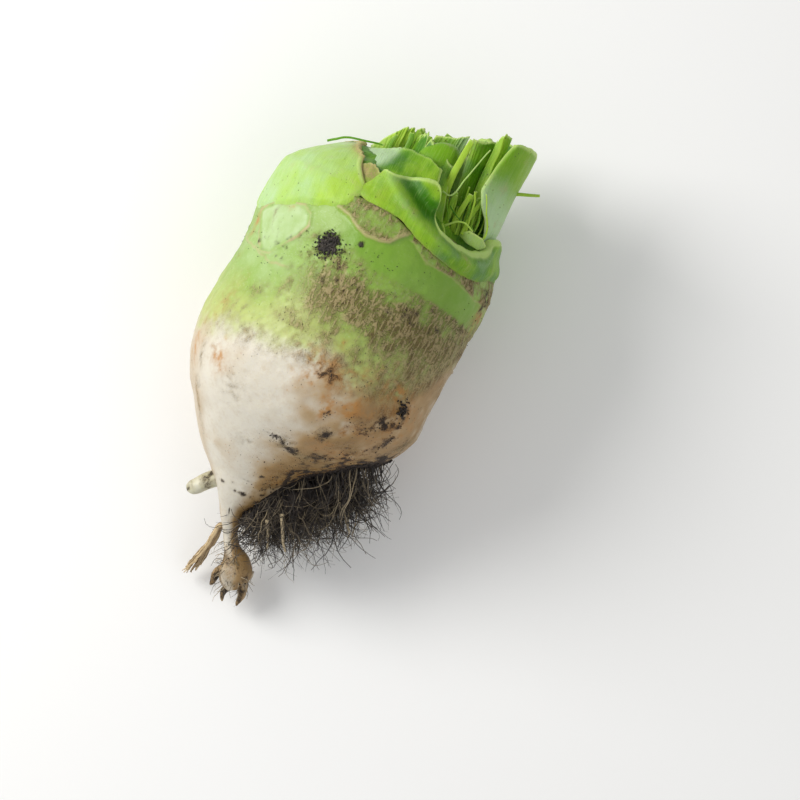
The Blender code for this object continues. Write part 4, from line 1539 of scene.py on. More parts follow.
            # painted shade in the hollow above the collar, and painted highlight on its crest
            fold_shade_and_highlight = reach * np.array([hump((above - 8.0) / 5.0), hump(above / 2.0)])
            depth = np.interp(turn, (-10, -2, 8, 16, 24), (0.5, 2.2, 4.2, 4.6, 5.0))
            radius = radius + reach * (1.3 * hump(above / 2.6) - depth * hump((above - 7.8) / 4.0))
        spots = sheet(radius)
        swell = 0.5 * FORM.rough.layered(spots + seed, 14, 2) * ease((height - foot) / 8)
        grain = np.stack([side_mm, height * 0.08, np.full_like(side_mm, seed)], axis=-1)
        ribbed = FORM.fine.layered(grain, 2.6, 2) * ease((height - foot) / 6)
        radius = radius + swell + self.ribs * ribbed
        outer = sheet(radius)
        inner = sheet(np.maximum(radius - wall[None, :] * (0.6 + 0.4 * ease(rise * 3)), 3.0))
        edge = []
        for angle in EDGE_ANGLES:
            turned = math.radians(angle)
            middle = (outer[-1] + inner[-1]) / 2
            half = (outer[-1] - inner[-1]) / 2
            lift = np.linalg.norm(half, axis=1) * 0.7 * math.sin(turned)
            ring = middle + half * math.cos(turned)
            ring[:, 0] += lift
            edge.append(ring)
        points = np.concatenate([outer, np.array(edge), inner[::-1]])
        values = self.looks(points, across, rows, height, side_mm, tops, fold_shade_and_highlight)
        faces = shell_faces(*points.shape[:2])
        return mesh_piece(self.name, points.reshape(-1, 3), faces, values)

    def looks(
        self,
        points: Array,
        across: Array,
        rows: int,
        height: Array,
        side_mm: Array,
        tops: Array,
        fold_shade_and_highlight: Array,
    ) -> dict[str, Array]:
        """Numbers for the finish at each point.

        Args:
            points: all points, row by row.
            across: from -1 to 1 over the columns.
            rows: of the outer side.
            height: of the outer side's points.
            side_mm: arc position of the outer side's points.
            tops: cut height at each column.
            fold_shade_and_highlight: how much painted shade the outer side gets in the hollow above the
                collar, and how much painted highlight on its crest.

        Returns:
            Numbers by name.
        """
        edge = len(EDGE_ANGLES)
        index = np.concatenate([np.arange(rows), np.full(edge, rows - 1), np.arange(rows)[::-1]])
        on_edge = np.concatenate([np.zeros(rows), np.ones(edge), np.zeros(rows)])[:, None]
        inside = np.concatenate([np.zeros(rows), np.full(edge, 0.5), np.ones(rows)])[:, None]
        near_cut = np.exp(-(tops[None, :] - height[index]) / 0.9)
        cloud = FORM.rough.layered(points, 9, 3)
        dry_rim, edge_highlight = np.exp(-(tops[None, :] - height[index]) / 2.6), 0.0
        if self.right_edge:
            from_edge = (side_mm[:, -1:] - side_mm)[index]
            free = ease((height[index] - 54) / 5)
            dry_rim = np.maximum(dry_rim, np.exp(-from_edge / 0.9) * free)
            # painted highlight: a band of cut colour just inside the rounded free right edge
            edge_highlight = 0.8 * hump((from_edge - 1.6) / 1.2) * free
        bleached = 1 - ease((height[index] - self.pale_below) / 34 + 0.5)
        ends = ease((np.abs(across)[None, :] - 0.93) / 0.05) * (0.6 if self.sheath is None else 0.0)
        foot_dirt = np.exp(-(height[index] - height[0][None, :]) / 1.3) * (inside < 0.4)
        light = self.light_rim * near_cut * (1 - self.paper) + edge_highlight + ends
        browned = self.dry * (0.8 + 0.3 * cloud) + self.paper * dry_rim
        deep, pale, lime = self.tones.over(across)
        values = {
            "side": side_mm[index],
            "rise": height[index],
            # painted shade: the inner side and the hollow above the collar are deeper green, and the hollow
            # is also less lime; painted highlight: the collar's crest is paler
            "deep": deep + 0.3 * cloud + 0.35 * (inside > 0.6) + 1.1 * fold_shade_and_highlight[0][index],
            "pale": (pale + 0.15 * cloud) * bleached + 0.12 * fold_shade_and_highlight[1][index],
            "lime": lime - 0.15 * cloud - 0.8 * fold_shade_and_highlight[0][index],
            "cut": np.maximum(on_edge * max(self.light_rim, 0.4), light),
            "paper": browned + 0.5 * foot_dirt * (self.sheath is not None),
        }
        return {key: np.clip(number, -200, 200).ravel() for key, number in values.items()}


YOUNG_STALKS: Rows = (  # turn, half width in degrees, inset, thickness and height in mm, darkness
    (226, 27, 21, 6.0, 77, 0.2), (146, 24, 22, 6.0, 84, 0.4), (276, 22, 22, 5.0, 74, 0.1),
    (184, 30, 30, 5.5, 82, 0.3), (308, 24, 27, 5.0, 72, 0.3), (112, 22, 26, 5.0, 86, 0.1),
    (238, 36, 35, 4.5, 78, 0.1), (150, 40, 36, 4.5, 84, 0.2),
)
LEAF_BASES = (
    LeafBase(
        "front_leaf_base", "leaf_base_front", (-32, 97), (-15, 92), 0.0,
        (2.0, 3.0, 3.4, 3.6, 4.5, 5.0, 5.0, 5.0, 4.5, 4.0, 3.0),
        Line(
            (
                (-16, 63), (-14.6, 67.3), (-11, 66.4), (-7, 66.3), (1.3, 67.7), (11, 70.4), (17, 71),
                (20, 69.6), (22, 64), (23.5, 57), (27, 53.2), (38, 50.8), (48, 51), (58, 53), (63, 56),
                (67, 60), (75, 61), (92, 59),
            ),
        ),
        Tones((0.05, 0.4, 0.45), (0.25, 0.1, 0.2), (0.55, 0.3, 0.25)), FRONT_SHEATH, 0.25, 0.12,
        collar=COLLAR,
        left_edge=((44, -30), (50, -29), (55, -25), (57.3, -18.8), (60, -17), (64, -15.8), (67.3, -14.9)),
    ),
    LeafBase(
        "dried_scale", "", (-40, -8), (-34, -12), 1.8, (0.8, 1.2, 0.8), (62, 65.5, 66.5, 65, 60),
        ragged=0.5, ribs=0.3, dry=0.95,
    ),
    LeafBase(
        "left_leaf_base", "leaf_base_left", (-112, -31), (-104, -33), 0.0, (2.4, 3.0, 3.2, 3.0, 1.8),
        (66, 70, 72, 73, 73, 72, 70.5, 69, 67.4), Tones((0.1, 0.0, 0.1), (0.6, 0.55, 0.3), (0.6, 0.7, 0.8)),
        LEFT_SHEATH, 0.4, 0.12, paper=0.95,
        right_edge=((40, -24), (50, -18), (55, -15), (57.3, -17.8), (60, -22), (63, -27), (67.4, -33.4)),
    ),
    LeafBase(
        "back_right_leaf_base", "leaf_base_back_right", (101, 166), (106, 160), 0.0, (2.4, 3.4, 2.4),
        (58, 60, 65, 71, 71, 66, 62), Tones((0.2, 0.2, 0.2), (0.1, 0.3, 0.1), (0.4, 0.3, 0.3)), BACK_SHEATH,
    ),
    LeafBase(
        "back_left_leaf_base", "leaf_base_back_left", (171, 243), (178, 236), 0.0, (2.4, 3.6, 2.4),
        (62, 70, 73.5, 75, 74.5, 70, 64), Tones((0.2, 0.2, 0.2), (0.1, 0.3, 0.1), (0.4, 0.5, 0.3)),
        BACK_SHEATH,
    ),
    LeafBase(
        "inner_front_leaf_base", "leaf_base_inner_front", (-66, 16), (-64, 21), 7.0, (2.0, 3.2, 2.4),
        (69.5, 72.5, 75, 77.5, 78.5, 78.5, 79, 77),
        Tones(
            (0.0, 0.0, 0.1, 0.5, 0.6, 0.55, 0.45, 0.3), (1.1, 1.1, 1.1, 0.9, 0.0, 0.0, 0.0, 0.0),
            (0.1, 0.1, 0.2, 0.2, 0.2, 0.3, 0.4, 0.5),
        ),
        swing=4.2, ragged=0.3, light_rim=0.25,
    ),
    LeafBase(
        "right_leaf_stalk", "leaf_stalk_right", (66, 112), (56, 106), 4.6, (1.2, 3.4, 4.4, 3.0),
        (101.0, 101.6, 101.8, 101.4, 101, 100, 97),
        Tones((0.0, 0.0, 0.15), (1.0, 0.9, 0.3), (0.1, 0.4, 0.5)), pale_below=82.0, ragged=0.3, ribs=0.25,
        left_edge=((50, 66), (60, 65), (67, 59), (72, 52), (77.6, 48.4), (90, 52), (101, 56.4)),
    ),
    LeafBase(
        "inner_left_leaf_base", "leaf_base_inner_left", (-122, -53), (-112, -62), 5.8, (2.4, 3.2, 2.4),
        (66, 72, 75, 75.5, 74.5, 71.5, 68), Tones((0.3, 0.2, 0.2), (0.3, 0.5, 0.4), (0.3, 0.3, 0.2)),
    ),
    LeafBase(
        "back_leaf_stalk", "leaf_stalk_back", (164, 228), (172, 214), 5.8, (2.4, 4.6, 2.4),
        (81, 86, 87.5, 89.5, 88.5, 87, 81), Tones((0.1, 0.2, 0.1), (0.3, 0.2, 0.3), (0.9, 0.8, 0.9)),
        ragged=1.0, ribs=0.7, shreds=9,
    ),
    LeafBase(
        "far_leaf_stalk", "leaf_stalk_far", (119, 158), (122, 154), 5.8, (2.2, 4.2, 2.2),
        (88, 92, 94, 95, 92), Tones((0.3, 0.4, 0.3), (0.3, 0.1, 0.3), (0.4, 0.3, 0.4)), ribs=0.5,
        ragged=0.8, shreds=3,
    ),
    LeafBase(
        "middle_leaf_stalk", "leaf_stalk_middle", (-50, 40), (-46, 34), 13.5, (2.4, 4.0, 2.6),
        (78, 83, 87, 88, 87, 84, 80), Tones((0.1, 0.7, 0.5), (0.3, 0.05, 0.2), (0.6, 0.1, 0.3)), ragged=0.9,
        ribs=0.5, shreds=3, shred_depth=5.0,
    ),
    LeafBase(
        "inner_left_leaf_stalk", "leaf_stalk_inner_left", (190, 300), (200, 290), 13.5, (2.4, 3.8, 2.4),
        (74, 80, 85, 86.5, 85, 80, 76), Tones((0.2, 0.2, 0.2), (0.3, 0.2, 0.3), (0.7, 0.8, 0.7)),
        ragged=1.0, ribs=0.6, shreds=8,
    ),
    LeafBase(
        "inner_right_leaf_stalk", "leaf_stalk_inner_right", (96, 170), (100, 160), 13.5, (2.4, 3.6, 2.4),
        (88, 94, 98, 98.5, 97, 92, 86), Tones((0.3, 0.5, 0.3), (0.2, 0.1, 0.2), (0.3, 0.2, 0.3)),
        ragged=0.7, ribs=0.5, shreds=3,
    ),
) + tuple(
    LeafBase(
        f"young_stalk_{number}", "", (middle - spread, middle + spread),
        (middle - 0.8 * spread, middle + 0.8 * spread), inset, (3.0, wall, 3.0),
        (height - 3, height, height + 0.8, height - 0.5, height - 3),
        Tones((deep, deep + 0.2, deep), (0.3, 0.1, 0.3), (0.7 - deep, 0.4, 0.7 - deep)),
        ragged=0.5, ribs=0.4,
    )
    for number, (middle, spread, inset, wall, height, deep) in enumerate(YOUNG_STALKS, 1)
)


@dataclass(frozen=True)
class Blade:
    """A flat torn piece of stalk that stands in the heart."""

    name: str
    edges: Rows  # (along, across, up) of the foot and of the top, from its left to its right
    tones: Tones
    ragged: float = 0.4  # mm
    ribs: float = 0.3  # mm
    wall: float = 0.9  # mm
    shreds: int = 0
    shred_depth: float = 5.0

    def build(self) -> Piece:
        """The blade as a closed sheet.

        Returns:
            The blade.
        """
        table = np.array(self.edges, float)
        wide = float(np.linalg.norm(table[-1, 3:5] - table[0, 3:5]))
        columns, rows = max(16, round(wide / 0.3)), 46
        across = np.linspace(-1, 1, columns + 1)
        keys = np.linspace(-1, 1, len(table))
        line = np.column_stack([np.interp(across, keys, column) for column in table.T])
        foot, top = line[:, :3], line[:, 3:].copy()
        draw = np.random.default_rng(len(self.name))
        spots = np.column_stack([across * wide, across * 0 + 7.7, across * 0])
        top[:, 0] += self.ragged * FORM.fine.layered(spots, 2.2, 3)
        for _ in range(self.shreds):
            middle, half = draw.uniform(-0.9, 0.9), draw.uniform(0.03, 0.09)
            depth = self.shred_depth * draw.uniform(0.3, 1.0)
            top[:, 0] -= depth * np.exp(-np.abs((across - middle) / half) ** 1.3)
        rise = np.linspace(0, 1, rows)[:, None, None]
        outer = foot + (top - foot) * rise
        level = 0 * outer[..., 0]
        grain = np.stack([level + across * wide, outer[..., 0] * 0.06, level], axis=-1)
        outer[..., 2] += self.ribs * FORM.fine.layered(grain, 1.7, 3) - (0.6 + 0.14 * wide) * across**2
        outer[..., 1] += 0.25 * FORM.rough.layered(outer, 8, 2)
        wall = self.wall * np.sqrt(np.clip(1 - 0.9 * across**6, 0.02, 1))
        inner = outer - np.stack([0 * wall, 0 * wall, wall], axis=-1)
        middle = (outer[-1] + inner[-1]) / 2 + np.array([0.35, 0, 0])
        points = np.concatenate([outer, middle[None], inner[::-1]])
        total, width = points.shape[:2]
        cloud = FORM.rough.layered(points, 7, 3)
        near = np.exp(-(top[None, :, 0] - points[..., 0]) / 0.5)
        near = near + 0.6 * ease((np.abs(across) - 0.88) / 0.1)
        deep, pale, lime = self.tones.over(across)
        values = {
            "side": np.broadcast_to(across * wide / 2, (total, width)),
            "rise": points[..., 0],
            "deep": deep + 0.25 * cloud,
            "pale": pale + 0.12 * cloud,
            "lime": lime - 0.15 * cloud,
            "cut": np.clip(near, 0, 1),
            "paper": np.zeros((total, width)),
        }
        flat = {key: np.asarray(number, float).ravel() for key, number in values.items()}
        return mesh_piece(self.name, points.reshape(-1, 3), shell_faces(total, width), flat)


BLADES = (
    Blade(
        "torn_back_blade",
        (
            (68, -17, 14, 74.0, -20.7, 12), (69, -14, 12, 82.6, -14.7, 10), (70, -10, 10, 88.0, -10.2, 8),
            (71, -5.5, 8, 89.7, -5.2, 6), (74, 0, 6, 89.6, -1.0, 4),
        ),
        Tones((0.2, 0.0, 0.3), (0.3, 0.1, 0.1), (0.6, 1.0, 0.6)), 0.5, 0.5, shreds=5, shred_depth=2.6,
    ),
    Blade(
        "back_heart_blade",
        ((74, 0, 2, 90.2, 1.5, 0), (76, 8, 2, 92.6, 9.4, 1), (76, 14, 4, 96.0, 14.8, 3)),
        Tones((0.5, 0.5, 0.3), (0.1, 0.2, 0.8), (0.2, 0.3, 0.1)),
    ),
    Blade(
        "broad_heart_blade",
        ((60, 22, 14, 95.2, 16.4, 20), (60, 25, 12, 95.6, 20.4, 17), (62, 31, 10, 99.0, 26.4, 13)),
        Tones((0.1, 0.4, 0.6), (0.35, 0.05, 0.0), (0.5, 0.1, 0.1)), 0.3, 0.25,
    ),
    Blade(
        "striped_heart_blade",
        ((62, 27.5, 14, 99.0, 25.4, 16), (62, 31, 14, 103.6, 28.0, 16), (62, 35, 14, 102.6, 31.0, 14)),
        Tones((0.4, 0.1, 0.4), (0.0, 0.1, 0.0), (0.2, 0.8, 0.3)), 0.3, 0.35, shreds=2, shred_depth=3.0,
    ),
    Blade(
        "leaf_scrap",
        (
            (56.6, 29.5, 28, 57.8, 29.7, 28.4), (55.0, 33.7, 27.5, 59.9, 32.6, 30),
            (54.6, 38.9, 26, 59.5, 38.9, 28.5), (56.6, 41.2, 25, 57.2, 41.4, 25.6),
        ),
        Tones((0.0, 0.0, 0.0), (0.4, 0.4, 0.5), (1.0, 1.0, 1.0)), 0.15, 0.2, 0.5,
    ),
    Blade(
        "dark_heart_blade", ((62, 32, 4, 101.0, 30.0, 3), (62, 40, 4, 99.0, 38.0, 2)),
        Tones((1.0, 0.9, 0.9), (0.1, 0.1, 0.2), (0.0, 0.1, 0.0)),
    ),
)


@dataclass
class Crown:
    """All leaf bases, and what stands in the heart between them."""

    bases: tuple[LeafBase, ...] = LEAF_BASES
    blades: tuple[Blade, ...] = BLADES

    def dress(self) -> list[Piece]:
        """Builds and paints the leaves.

        Returns:
            All pieces of the crown.
        """
        made = []
        for base in self.bases:
            piece = base.build()
            if base.node:
                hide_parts(base.node)
            made.append(piece)
        heart = self.build_heart()
        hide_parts("heart_stalks")
        made += [heart, self.build_strips(), self.build_stub()] + [blade.build() for blade in self.blades]
        return attach(made, LeafFinish().material())

    def leafy_values(self, count: int, deep: float, pale: float, lime: float) -> dict[str, Array]:
        """The same tones at every point."""
        tones = {"deep": deep, "pale": pale, "lime": lime, "cut": 0.0, "paper": 0.0}
        return {key: np.full(count, share) for key, share in tones.items()}

    def build_heart(self) -> Piece:
        """The low green floor of the heart.

        Returns:
            The floor.
        """
        sides = 240
        degrees = np.linspace(-180, 180, sides, endpoint=False)
        turns = np.radians(degrees)
        shares = np.linspace(0, 1, 26)
        spots = (-60, -20, 10, 27, 38, 48, 58, 66, 90, 130)
        rim = np.interp(degrees, spots, (58, 58, 55, 50.5, 48.3, 48.6, 51, 55, 54, 56))
        rings = []
        for share in shares:
            radius = np.interp(share, (0, 0.25, 0.45, 0.65, 0.85, 1), (46.5, 43, 39.5, 36, 29, 2))
            rise = np.interp(share, (0, 0.25, 0.45, 0.65, 0.85, 1), (0, 1.0, 4.2, 9.5, 14.0, 17.0))
            height = rim - 1.0 + rise
            rings.append(np.column_stack([height, radius * np.sin(turns), radius * np.cos(turns)]))
        points = np.array(rings)
        points[..., 0] += 1.1 * FORM.rough.layered(points, 7, 3) * ease(shares * 4)[:, None]
        # painted shade: the floor turns deeper green from its rim towards the middle of the hollow
        deep = np.repeat(0.1 + 0.5 * ease(shares * 2.4), sides)
        deep += 0.4 * FORM.fine.layered(points, 5, 3).ravel()
        values = self.leafy_values(len(deep), 1.0, 0.12, 0.1)
        values["deep"] = deep
        values |= {"side": np.tile(degrees, len(shares)) * 0.7, "rise": np.repeat(shares * 30, sides)}
        return mesh_piece("heart_floor", points.reshape(-1, 3), ring_faces(len(points), sides), values)

    def strip_rows(self) -> list[tuple[Any, ...]]:
        """Strips as half width, thickness share, deep, pale and lime, then points (along, across, up).

        Returns:
            A row for each strip.
        """
        rows: list[tuple[Any, ...]] = [
            (1.7, 0.3, 0.0, 0.1, 0.9, (60, 20, 12), (70, 16.2, 24), (82, 15.6, 25), (95.5, 16.8, 23)),
            (0.36, 0.8, 0.0, 0.5, 1.0, (70, 14.5, 28), (69.2, 19.5, 28), (80, 21.5, 27), (95.8, 25.4, 24)),
            (1.3, 0.25, 0.2, 0.1, 0.7, (55, 26.5, 22), (61, 25, 25), (68, 25.4, 25), (75, 26, 24)),
            (1.0, 0.3, 0.2, 0.1, 0.6, (55, 30.5, 20), (62, 29.6, 24), (72, 31.0, 23), (81.6, 32.8, 20)),
            (0.4, 0.8, 0.1, 0.2, 0.9, (56, 38.5, 25), (63, 39.4, 28), (71, 34.8, 29.5), (77.4, 31.6, 30)),
            (1.2, 0.3, 0.4, 0.1, 0.4, (55, 22, 22), (62, 21.5, 26), (68, 20.5, 26), (72.5, 20.2, 24)),
            (2.2, 0.3, 0.5, 0.1, 0.3, (60, 8, -8), (76, 6, -12), (88, 6, -13), (94, 7, -13)),
            (2.6, 0.3, 0.3, 0.3, 0.5, (60, 2, -12), (74, -2, -18), (86, -3, -19), (89, -3, -19)),
            (2.2, 0.3, 0.3, 0.3, 0.6, (60, 18, -14), (76, 20, -20), (90, 22, -22), (97, 22, -22)),
            (1.6, 0.3, 0.2, 0.3, 0.6, (60, 28, -10), (76, 31, -14), (88, 33, -15), (95, 34, -15)),
            (0.45, 0.8, 0.1, 0.3, 1.0, (57, 22, 31), (61.5, 26, 31), (62.5, 29.5, 31), (60.5, 34, 30)),
            (0.5, 0.7, 0.1, 0.3, 0.8, (57.5, 21, 33), (56, 22.5, 34), (52.5, 24.5, 35), (50.5, 25, 36)),
            (0.5, 0.5, 0.6, 0.0, 0.1, (66.5, -38, 22), (71.6, -31.3, 26), (74, -23, 27.5), (76, -14.8, 27)),
            (0.8, 0.4, 0.0, 0.2, 1.0, (82.5, 41.5, 4), (83.7, 44.1, 4), (85.5, 48.5, 4), (87.3, 52.4, 3)),
            (0.3, 0.8, 0.8, 0.0, 0.0, (66, 20.5, 30), (64.5, 22.5, 31), (63, 25.5, 31), (62.5, 27.5, 30.5)),
            (0.3, 0.8, 0.6, 0.0, 0.2, (68, 18.5, 30), (65, 19.5, 31.5), (62, 21.5, 32), (59.5, 23, 32)),
        ]
        draw = np.random.default_rng(8)
        for number in range(12):  # the fan of torn strips behind the left of the heart
            share = number / 11
            across = -18.5 + 20.5 * share + draw.normal(0, 0.3)
            tip = np.interp(share, (0, 0.35, 0.6, 1), (76.5, 87.5, 89.5, 89.5)) - draw.uniform(0, 3.5)
            up = 12.5 + draw.uniform(-6, 2) - 6 * share
            bright = draw.uniform(0, 1)
            foot = (64, across + 1.5, up - 3)
            middle = (70, across + 0.6, up)
            looks = (draw.uniform(0.45, 1.5), 0.3, 0.35 * (1 - bright), 0.2, bright)
            top = (tip, across + draw.normal(0, 0.8), up)
            rows.append(looks + (foot, middle, (tip - 4, across, up), top))
        for _ in range(22):  # thin young strips in the heart
            out = draw.uniform(0, 1)
            foot = np.array([55 + 3 * draw.uniform(), 24 + 11 * out, 18 + 10 * draw.uniform()])
            tip = np.array([draw.uniform(66, 80), 20 + 12 * out + draw.normal(0, 1.5), draw.uniform(16, 26)])
            middle = foot + (tip - foot) * 0.4 + draw.normal(0, 0.8, 3)
            late = foot + (tip - foot) * 0.75 + draw.normal(0, 0.8, 3)
            bright = draw.uniform(0, 1)
            looks = (draw.uniform(0.25, 0.85), 0.3, 0.6 * (1 - bright), 0.1, bright)
            rows.append(looks + (foot, middle, late, tip))
        return rows

    def build_strips(self) -> Piece:
        """Narrow young stalks and torn strips that stand up out of the heart.

        Returns:
            The strips as one object.
        """
        strips = self.strip_rows()
        steps, sides = 40, 12
        shares = np.linspace(0, 1, steps)
        paths, radii, flats = [], [], []
        tones: dict[str, list[Array]] = {"deep": [], "pale": [], "lime": [], "cut": []}
        for half, flat, deep, pale, lime, *points in strips:
            path = between(shares, points)
            padded = np.vstack([np.repeat(path[:1], 4, 0), path, np.repeat(path[-1:], 4, 0)])
            path = np.column_stack([np.convolve(column, np.ones(9) / 9, "valid") for column in padded.T])
            path += 0.3 * np.column_stack([FORM.fine.at(path + k * 17, 5.0) for k in range(3)])
            paths.append(path)
            radii.append(half * (1.05 - 0.3 * shares))
            flats.append(flat)
            for key, value in (("deep", deep), ("pale", pale), ("lime", lime)):
                tones[key].append(np.full(steps, value))
            tones["cut"].append(np.exp(-(1 - shares) * 30))
        values = {key: np.array(blocks) for key, blocks in tones.items()}
        edge = np.abs(np.cos(circle(sides))) ** 10
        values["cut"] = np.clip(values["cut"][..., None] + 0.5 * edge, 0, 1)
        values["paper"] = np.zeros((len(strips), steps))
        values["rise"] = np.array(paths)[..., 0]
        form = np.array(paths), np.array(radii), sides
        piece = strand_mesh("heart_stalks_cut", *form, values, np.array(flats), (0, 0, 1))
        place = np.empty(len(piece.data.vertices) * 3, np.float32)
        piece.data.vertices.foreach_get("co", place)
        layer = piece.data.attributes.new("side", "FLOAT", "POINT")
        layer.data.foreach_set("value", (place[0::3] * 1000).astype(np.float32))
        return piece

    def build_stub(self) -> Piece:
        """The rounded stub of a thick stalk behind the front leaves.

        Returns:
            The stub.
        """
        rings, sides = [], 48
        turns = circle(sides)
        for reach in (-26, -20, -14, -8, -2, 2, 4.5, 6.3, 7.4, 8.0, 8.2):
            size = 8.6 * math.sqrt(max(1 - (max(reach, 0) / 8.3) ** 2, 0.004)) + 0.12 * max(-reach - 2, 0)
            lean = 80.6 + reach + 0.32 * size * np.sin(turns)
            across, up = 7.0 + size * np.sin(turns), 17.0 + 0.7 * size * np.cos(turns)
            rings.append(np.column_stack([lean, across, up]))
        points = np.array(rings)
        points += 0.35 * FORM.wander(points, 11, 6)
        values = self.leafy_values(len(points) * sides, 0.3, 0.0, 0.15)
        values["cut"] = (0.3 * ease((points[..., 0] - 86.0) / 3)).ravel()
        values |= {"side": points[..., 1].ravel(), "rise": points[..., 0].ravel()}
        return mesh_piece("round_stalk_stub", points.reshape(-1, 3), ring_faces(len(points), sides), values)


@dataclass
class RootletTuft:
    """Soil and the rootlets that hold it, on the right of the tap root."""

    centre: Triple = (-71.0, 20.5, -16.5)
    halves: Triple = (12.0, 28.0, 13.5)
    tilt: float = -46.0
    heading: Triple = (-0.89, 0.45, 0.0)
    dark_count: int = 900
    pale_count: int = 260
    edge_count: int = 420
    knob_count: int = 90
    steps: int = 13

    def turned(self, points: Array) -> Array:
        """Points of the tuft's own frame in the root's frame."""
        c, s = math.cos(math.radians(self.tilt)), math.sin(math.radians(self.tilt))
        return points @ np.array([[c, s, 0], [-s, c, 0], [0, 0, 1]]) + np.array(self.centre)

    def build_soil(self) -> Piece:
        """The crumbly core.

        Returns:
            The core.
        """
        sides, rings = 120, 80
        polar = np.linspace(0.02, math.pi - 0.02, rings)[:, None]
        around = circle(sides)[None, :]
        right, up = np.sin(polar) * np.cos(around), np.sin(polar) * np.sin(around)
        ball = np.stack([np.cos(polar) + 0 * around, right, up], axis=-1) * np.array(self.halves)
        points = self.turned(ball)
        lumps = 0.12 * FORM.rough.layered(points, 9, 3) + 0.1 * FORM.fine.layered(points, 3.0, 3)
        points = above_floor(self.turned(ball * (0.97 + lumps[..., None])), 0.2)
        return mesh_piece("tuft_soil", points.reshape(-1, 3), ring_faces(rings, sides))

    def paths(self, count: int, seed: int, lengths: Pair, sway: float) -> Array:
        """Wandering rootlets that leave the soil and trail away from it.

        Args:
            count: how many.
            seed: for their ways.
            lengths: shortest and longest in mm.
            sway: how much they bend.

        Returns:
            Rootlets, steps and (along, across, up).
        """
        draw = np.random.default_rng(seed)
        side = draw.uniform(-0.8, 0.95, count)
        deep = np.sqrt(1 - side**2)
        lift = draw.uniform(-0.75, 0.95, count)
        back = draw.uniform(-0.85, 0.25, count) * deep
        spot = self.turned(np.column_stack([back, side, lift * deep]) * np.array(self.halves))
        way = np.column_stack([draw.normal(0, spread, count) for spread in (0.22, 0.3, 0.2)])
        way += np.array(self.heading) + np.column_stack([0 * side, 0.15 * side, 0.2 * lift])
        way = unit(way)
        length = draw.uniform(*lengths, count)[:, None] / self.steps
        made = [spot]
        bend = draw.normal(0, sway, (count, 3))
        for _ in range(self.steps):
            bend = 0.6 * bend + draw.normal(0, sway, (count, 3))
            way = unit(way + bend + np.array([0, 0, -0.05]))
            spot = spot + way * length
            made.append(spot)
        return above_floor(np.stack(made, axis=1), 0.5)

    def trail(self, start: Array, way: Array, length: float, draw: np.random.Generator) -> Array:
        """One wandering rootlet that sinks towards the floor.

        Args:
            start: its first point.
            way: the way it sets out.
            length: in mm.
            draw: source of its bends.

        Returns:
            Its points.
        """
        spot, bend, path = start, draw.normal(0, 0.12, 3), [start]
        for _ in range(self.steps):
            bend = 0.6 * bend + draw.normal(0, 0.13, 3)
            way = unit(way + bend + np.array([-0.1, 0.03, -0.09]))
            spot = spot + way * length / self.steps
            path.append(spot)
        return above_floor(np.array(path), 0.5)

    def edge_paths(self) -> Array:
        """Rootlets that come out of the root's edge above the soil and lie over it.

        Returns:
            Rootlets, steps and (along, across, up).
        """
        draw = np.random.default_rng(63)
        made = []
        for _ in range(self.edge_count):
            along = draw.uniform(-84, -42)
            turn = np.interp(along, (-86, -80, -65, -55, -49, -44), (64, 62, 74, 70, 66, 76))
            start, out = FORM.spot(turn + draw.uniform(0, 26), along, -0.3)
            left = ease(np.array((-66 - along) / 12)).item() * 0.55
            way = 0.5 * out + np.array([-0.85, 0.42 - left, -0.3]) + draw.normal(0, 0.22, 3)
            made.append(self.trail(start, way, draw.uniform(9, 30), draw))
        return np.array(made)

    def knob_paths(self) -> Array:
        """Short rootlets round the knob at the foot of the tap root.

        Returns:
            Rootlets, steps and (along, across, up).
        """
        draw = np.random.default_rng(71)
        made = []
        for _ in range(self.knob_count):
            start, out = FORM.spot(draw.uniform(-180, 180), draw.uniform(-119, -101), -0.2)
            way = out * draw.uniform(0.3, 1.0) + np.array([-0.5, 0, 0]) + draw.normal(0, 0.3, 3)
            made.append(self.trail(start, way, draw.uniform(3, 11), draw))
        return np.array(made)

    def dress(self) -> list[Piece]:
        """Builds and paints the tuft.

        Returns:
            Its soil, the dark and the pale rootlets, and the straight ones.
        """
        draw = np.random.default_rng(21)
        shares = np.linspace(1, 0.35, self.steps + 1)[None, :]

        def strands(paths: Array, thick: Pair, pale: Pair, power: float) -> tuple[Array, ...]:
            """Paths, with a radius and a lightness at each of their points.

            Args:
                paths: of the rootlets.
                thick: least and largest radius in mm.
                pale: least and largest lightness.
                power: makes pale ones rarer.

            Returns:
                Paths, radii and lightness.
            """
            radii = draw.uniform(*thick, len(paths))[:, None] * shares
            light = np.repeat(draw.uniform(*pale, len(paths))[:, None] ** power, self.steps + 1, 1)
            return paths, radii, light

        soil = self.build_soil()
        groups = (
            strands(self.paths(self.dark_count, 31, (12, 32), 0.22), (0.1, 0.34), (0.0, 0.6), 2),
            strands(self.edge_paths(), (0.1, 0.3), (0.0, 0.75), 2.2),
            strands(self.knob_paths(), (0.08, 0.22), (0.1, 0.7), 1),
        )
        paths, radii, light = (np.concatenate(group) for group in zip(*groups))
        dark = strand_mesh("dark_rootlets", paths, radii, 5, {"light": light})
        loose = self.paths(self.pale_count, 47, (10, 34), 0.3)
        paths, radii, light = strands(loose, (0.08, 0.2), (0.1, 0.85), 1.6)
        thick = self.straight_roots()
        pale = strand_mesh("pale_rootlets", paths, radii, 5, {"light": light})
        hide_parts("soil_bound_rootlets")
        attach([soil], SoilFinish("tuft soil finish").material())
        attach([dark], StrandFinish("dark rootlet finish").material())
        attach([pale, thick], StrandFinish("pale rootlet finish").material())
        return [soil, dark, pale, thick]

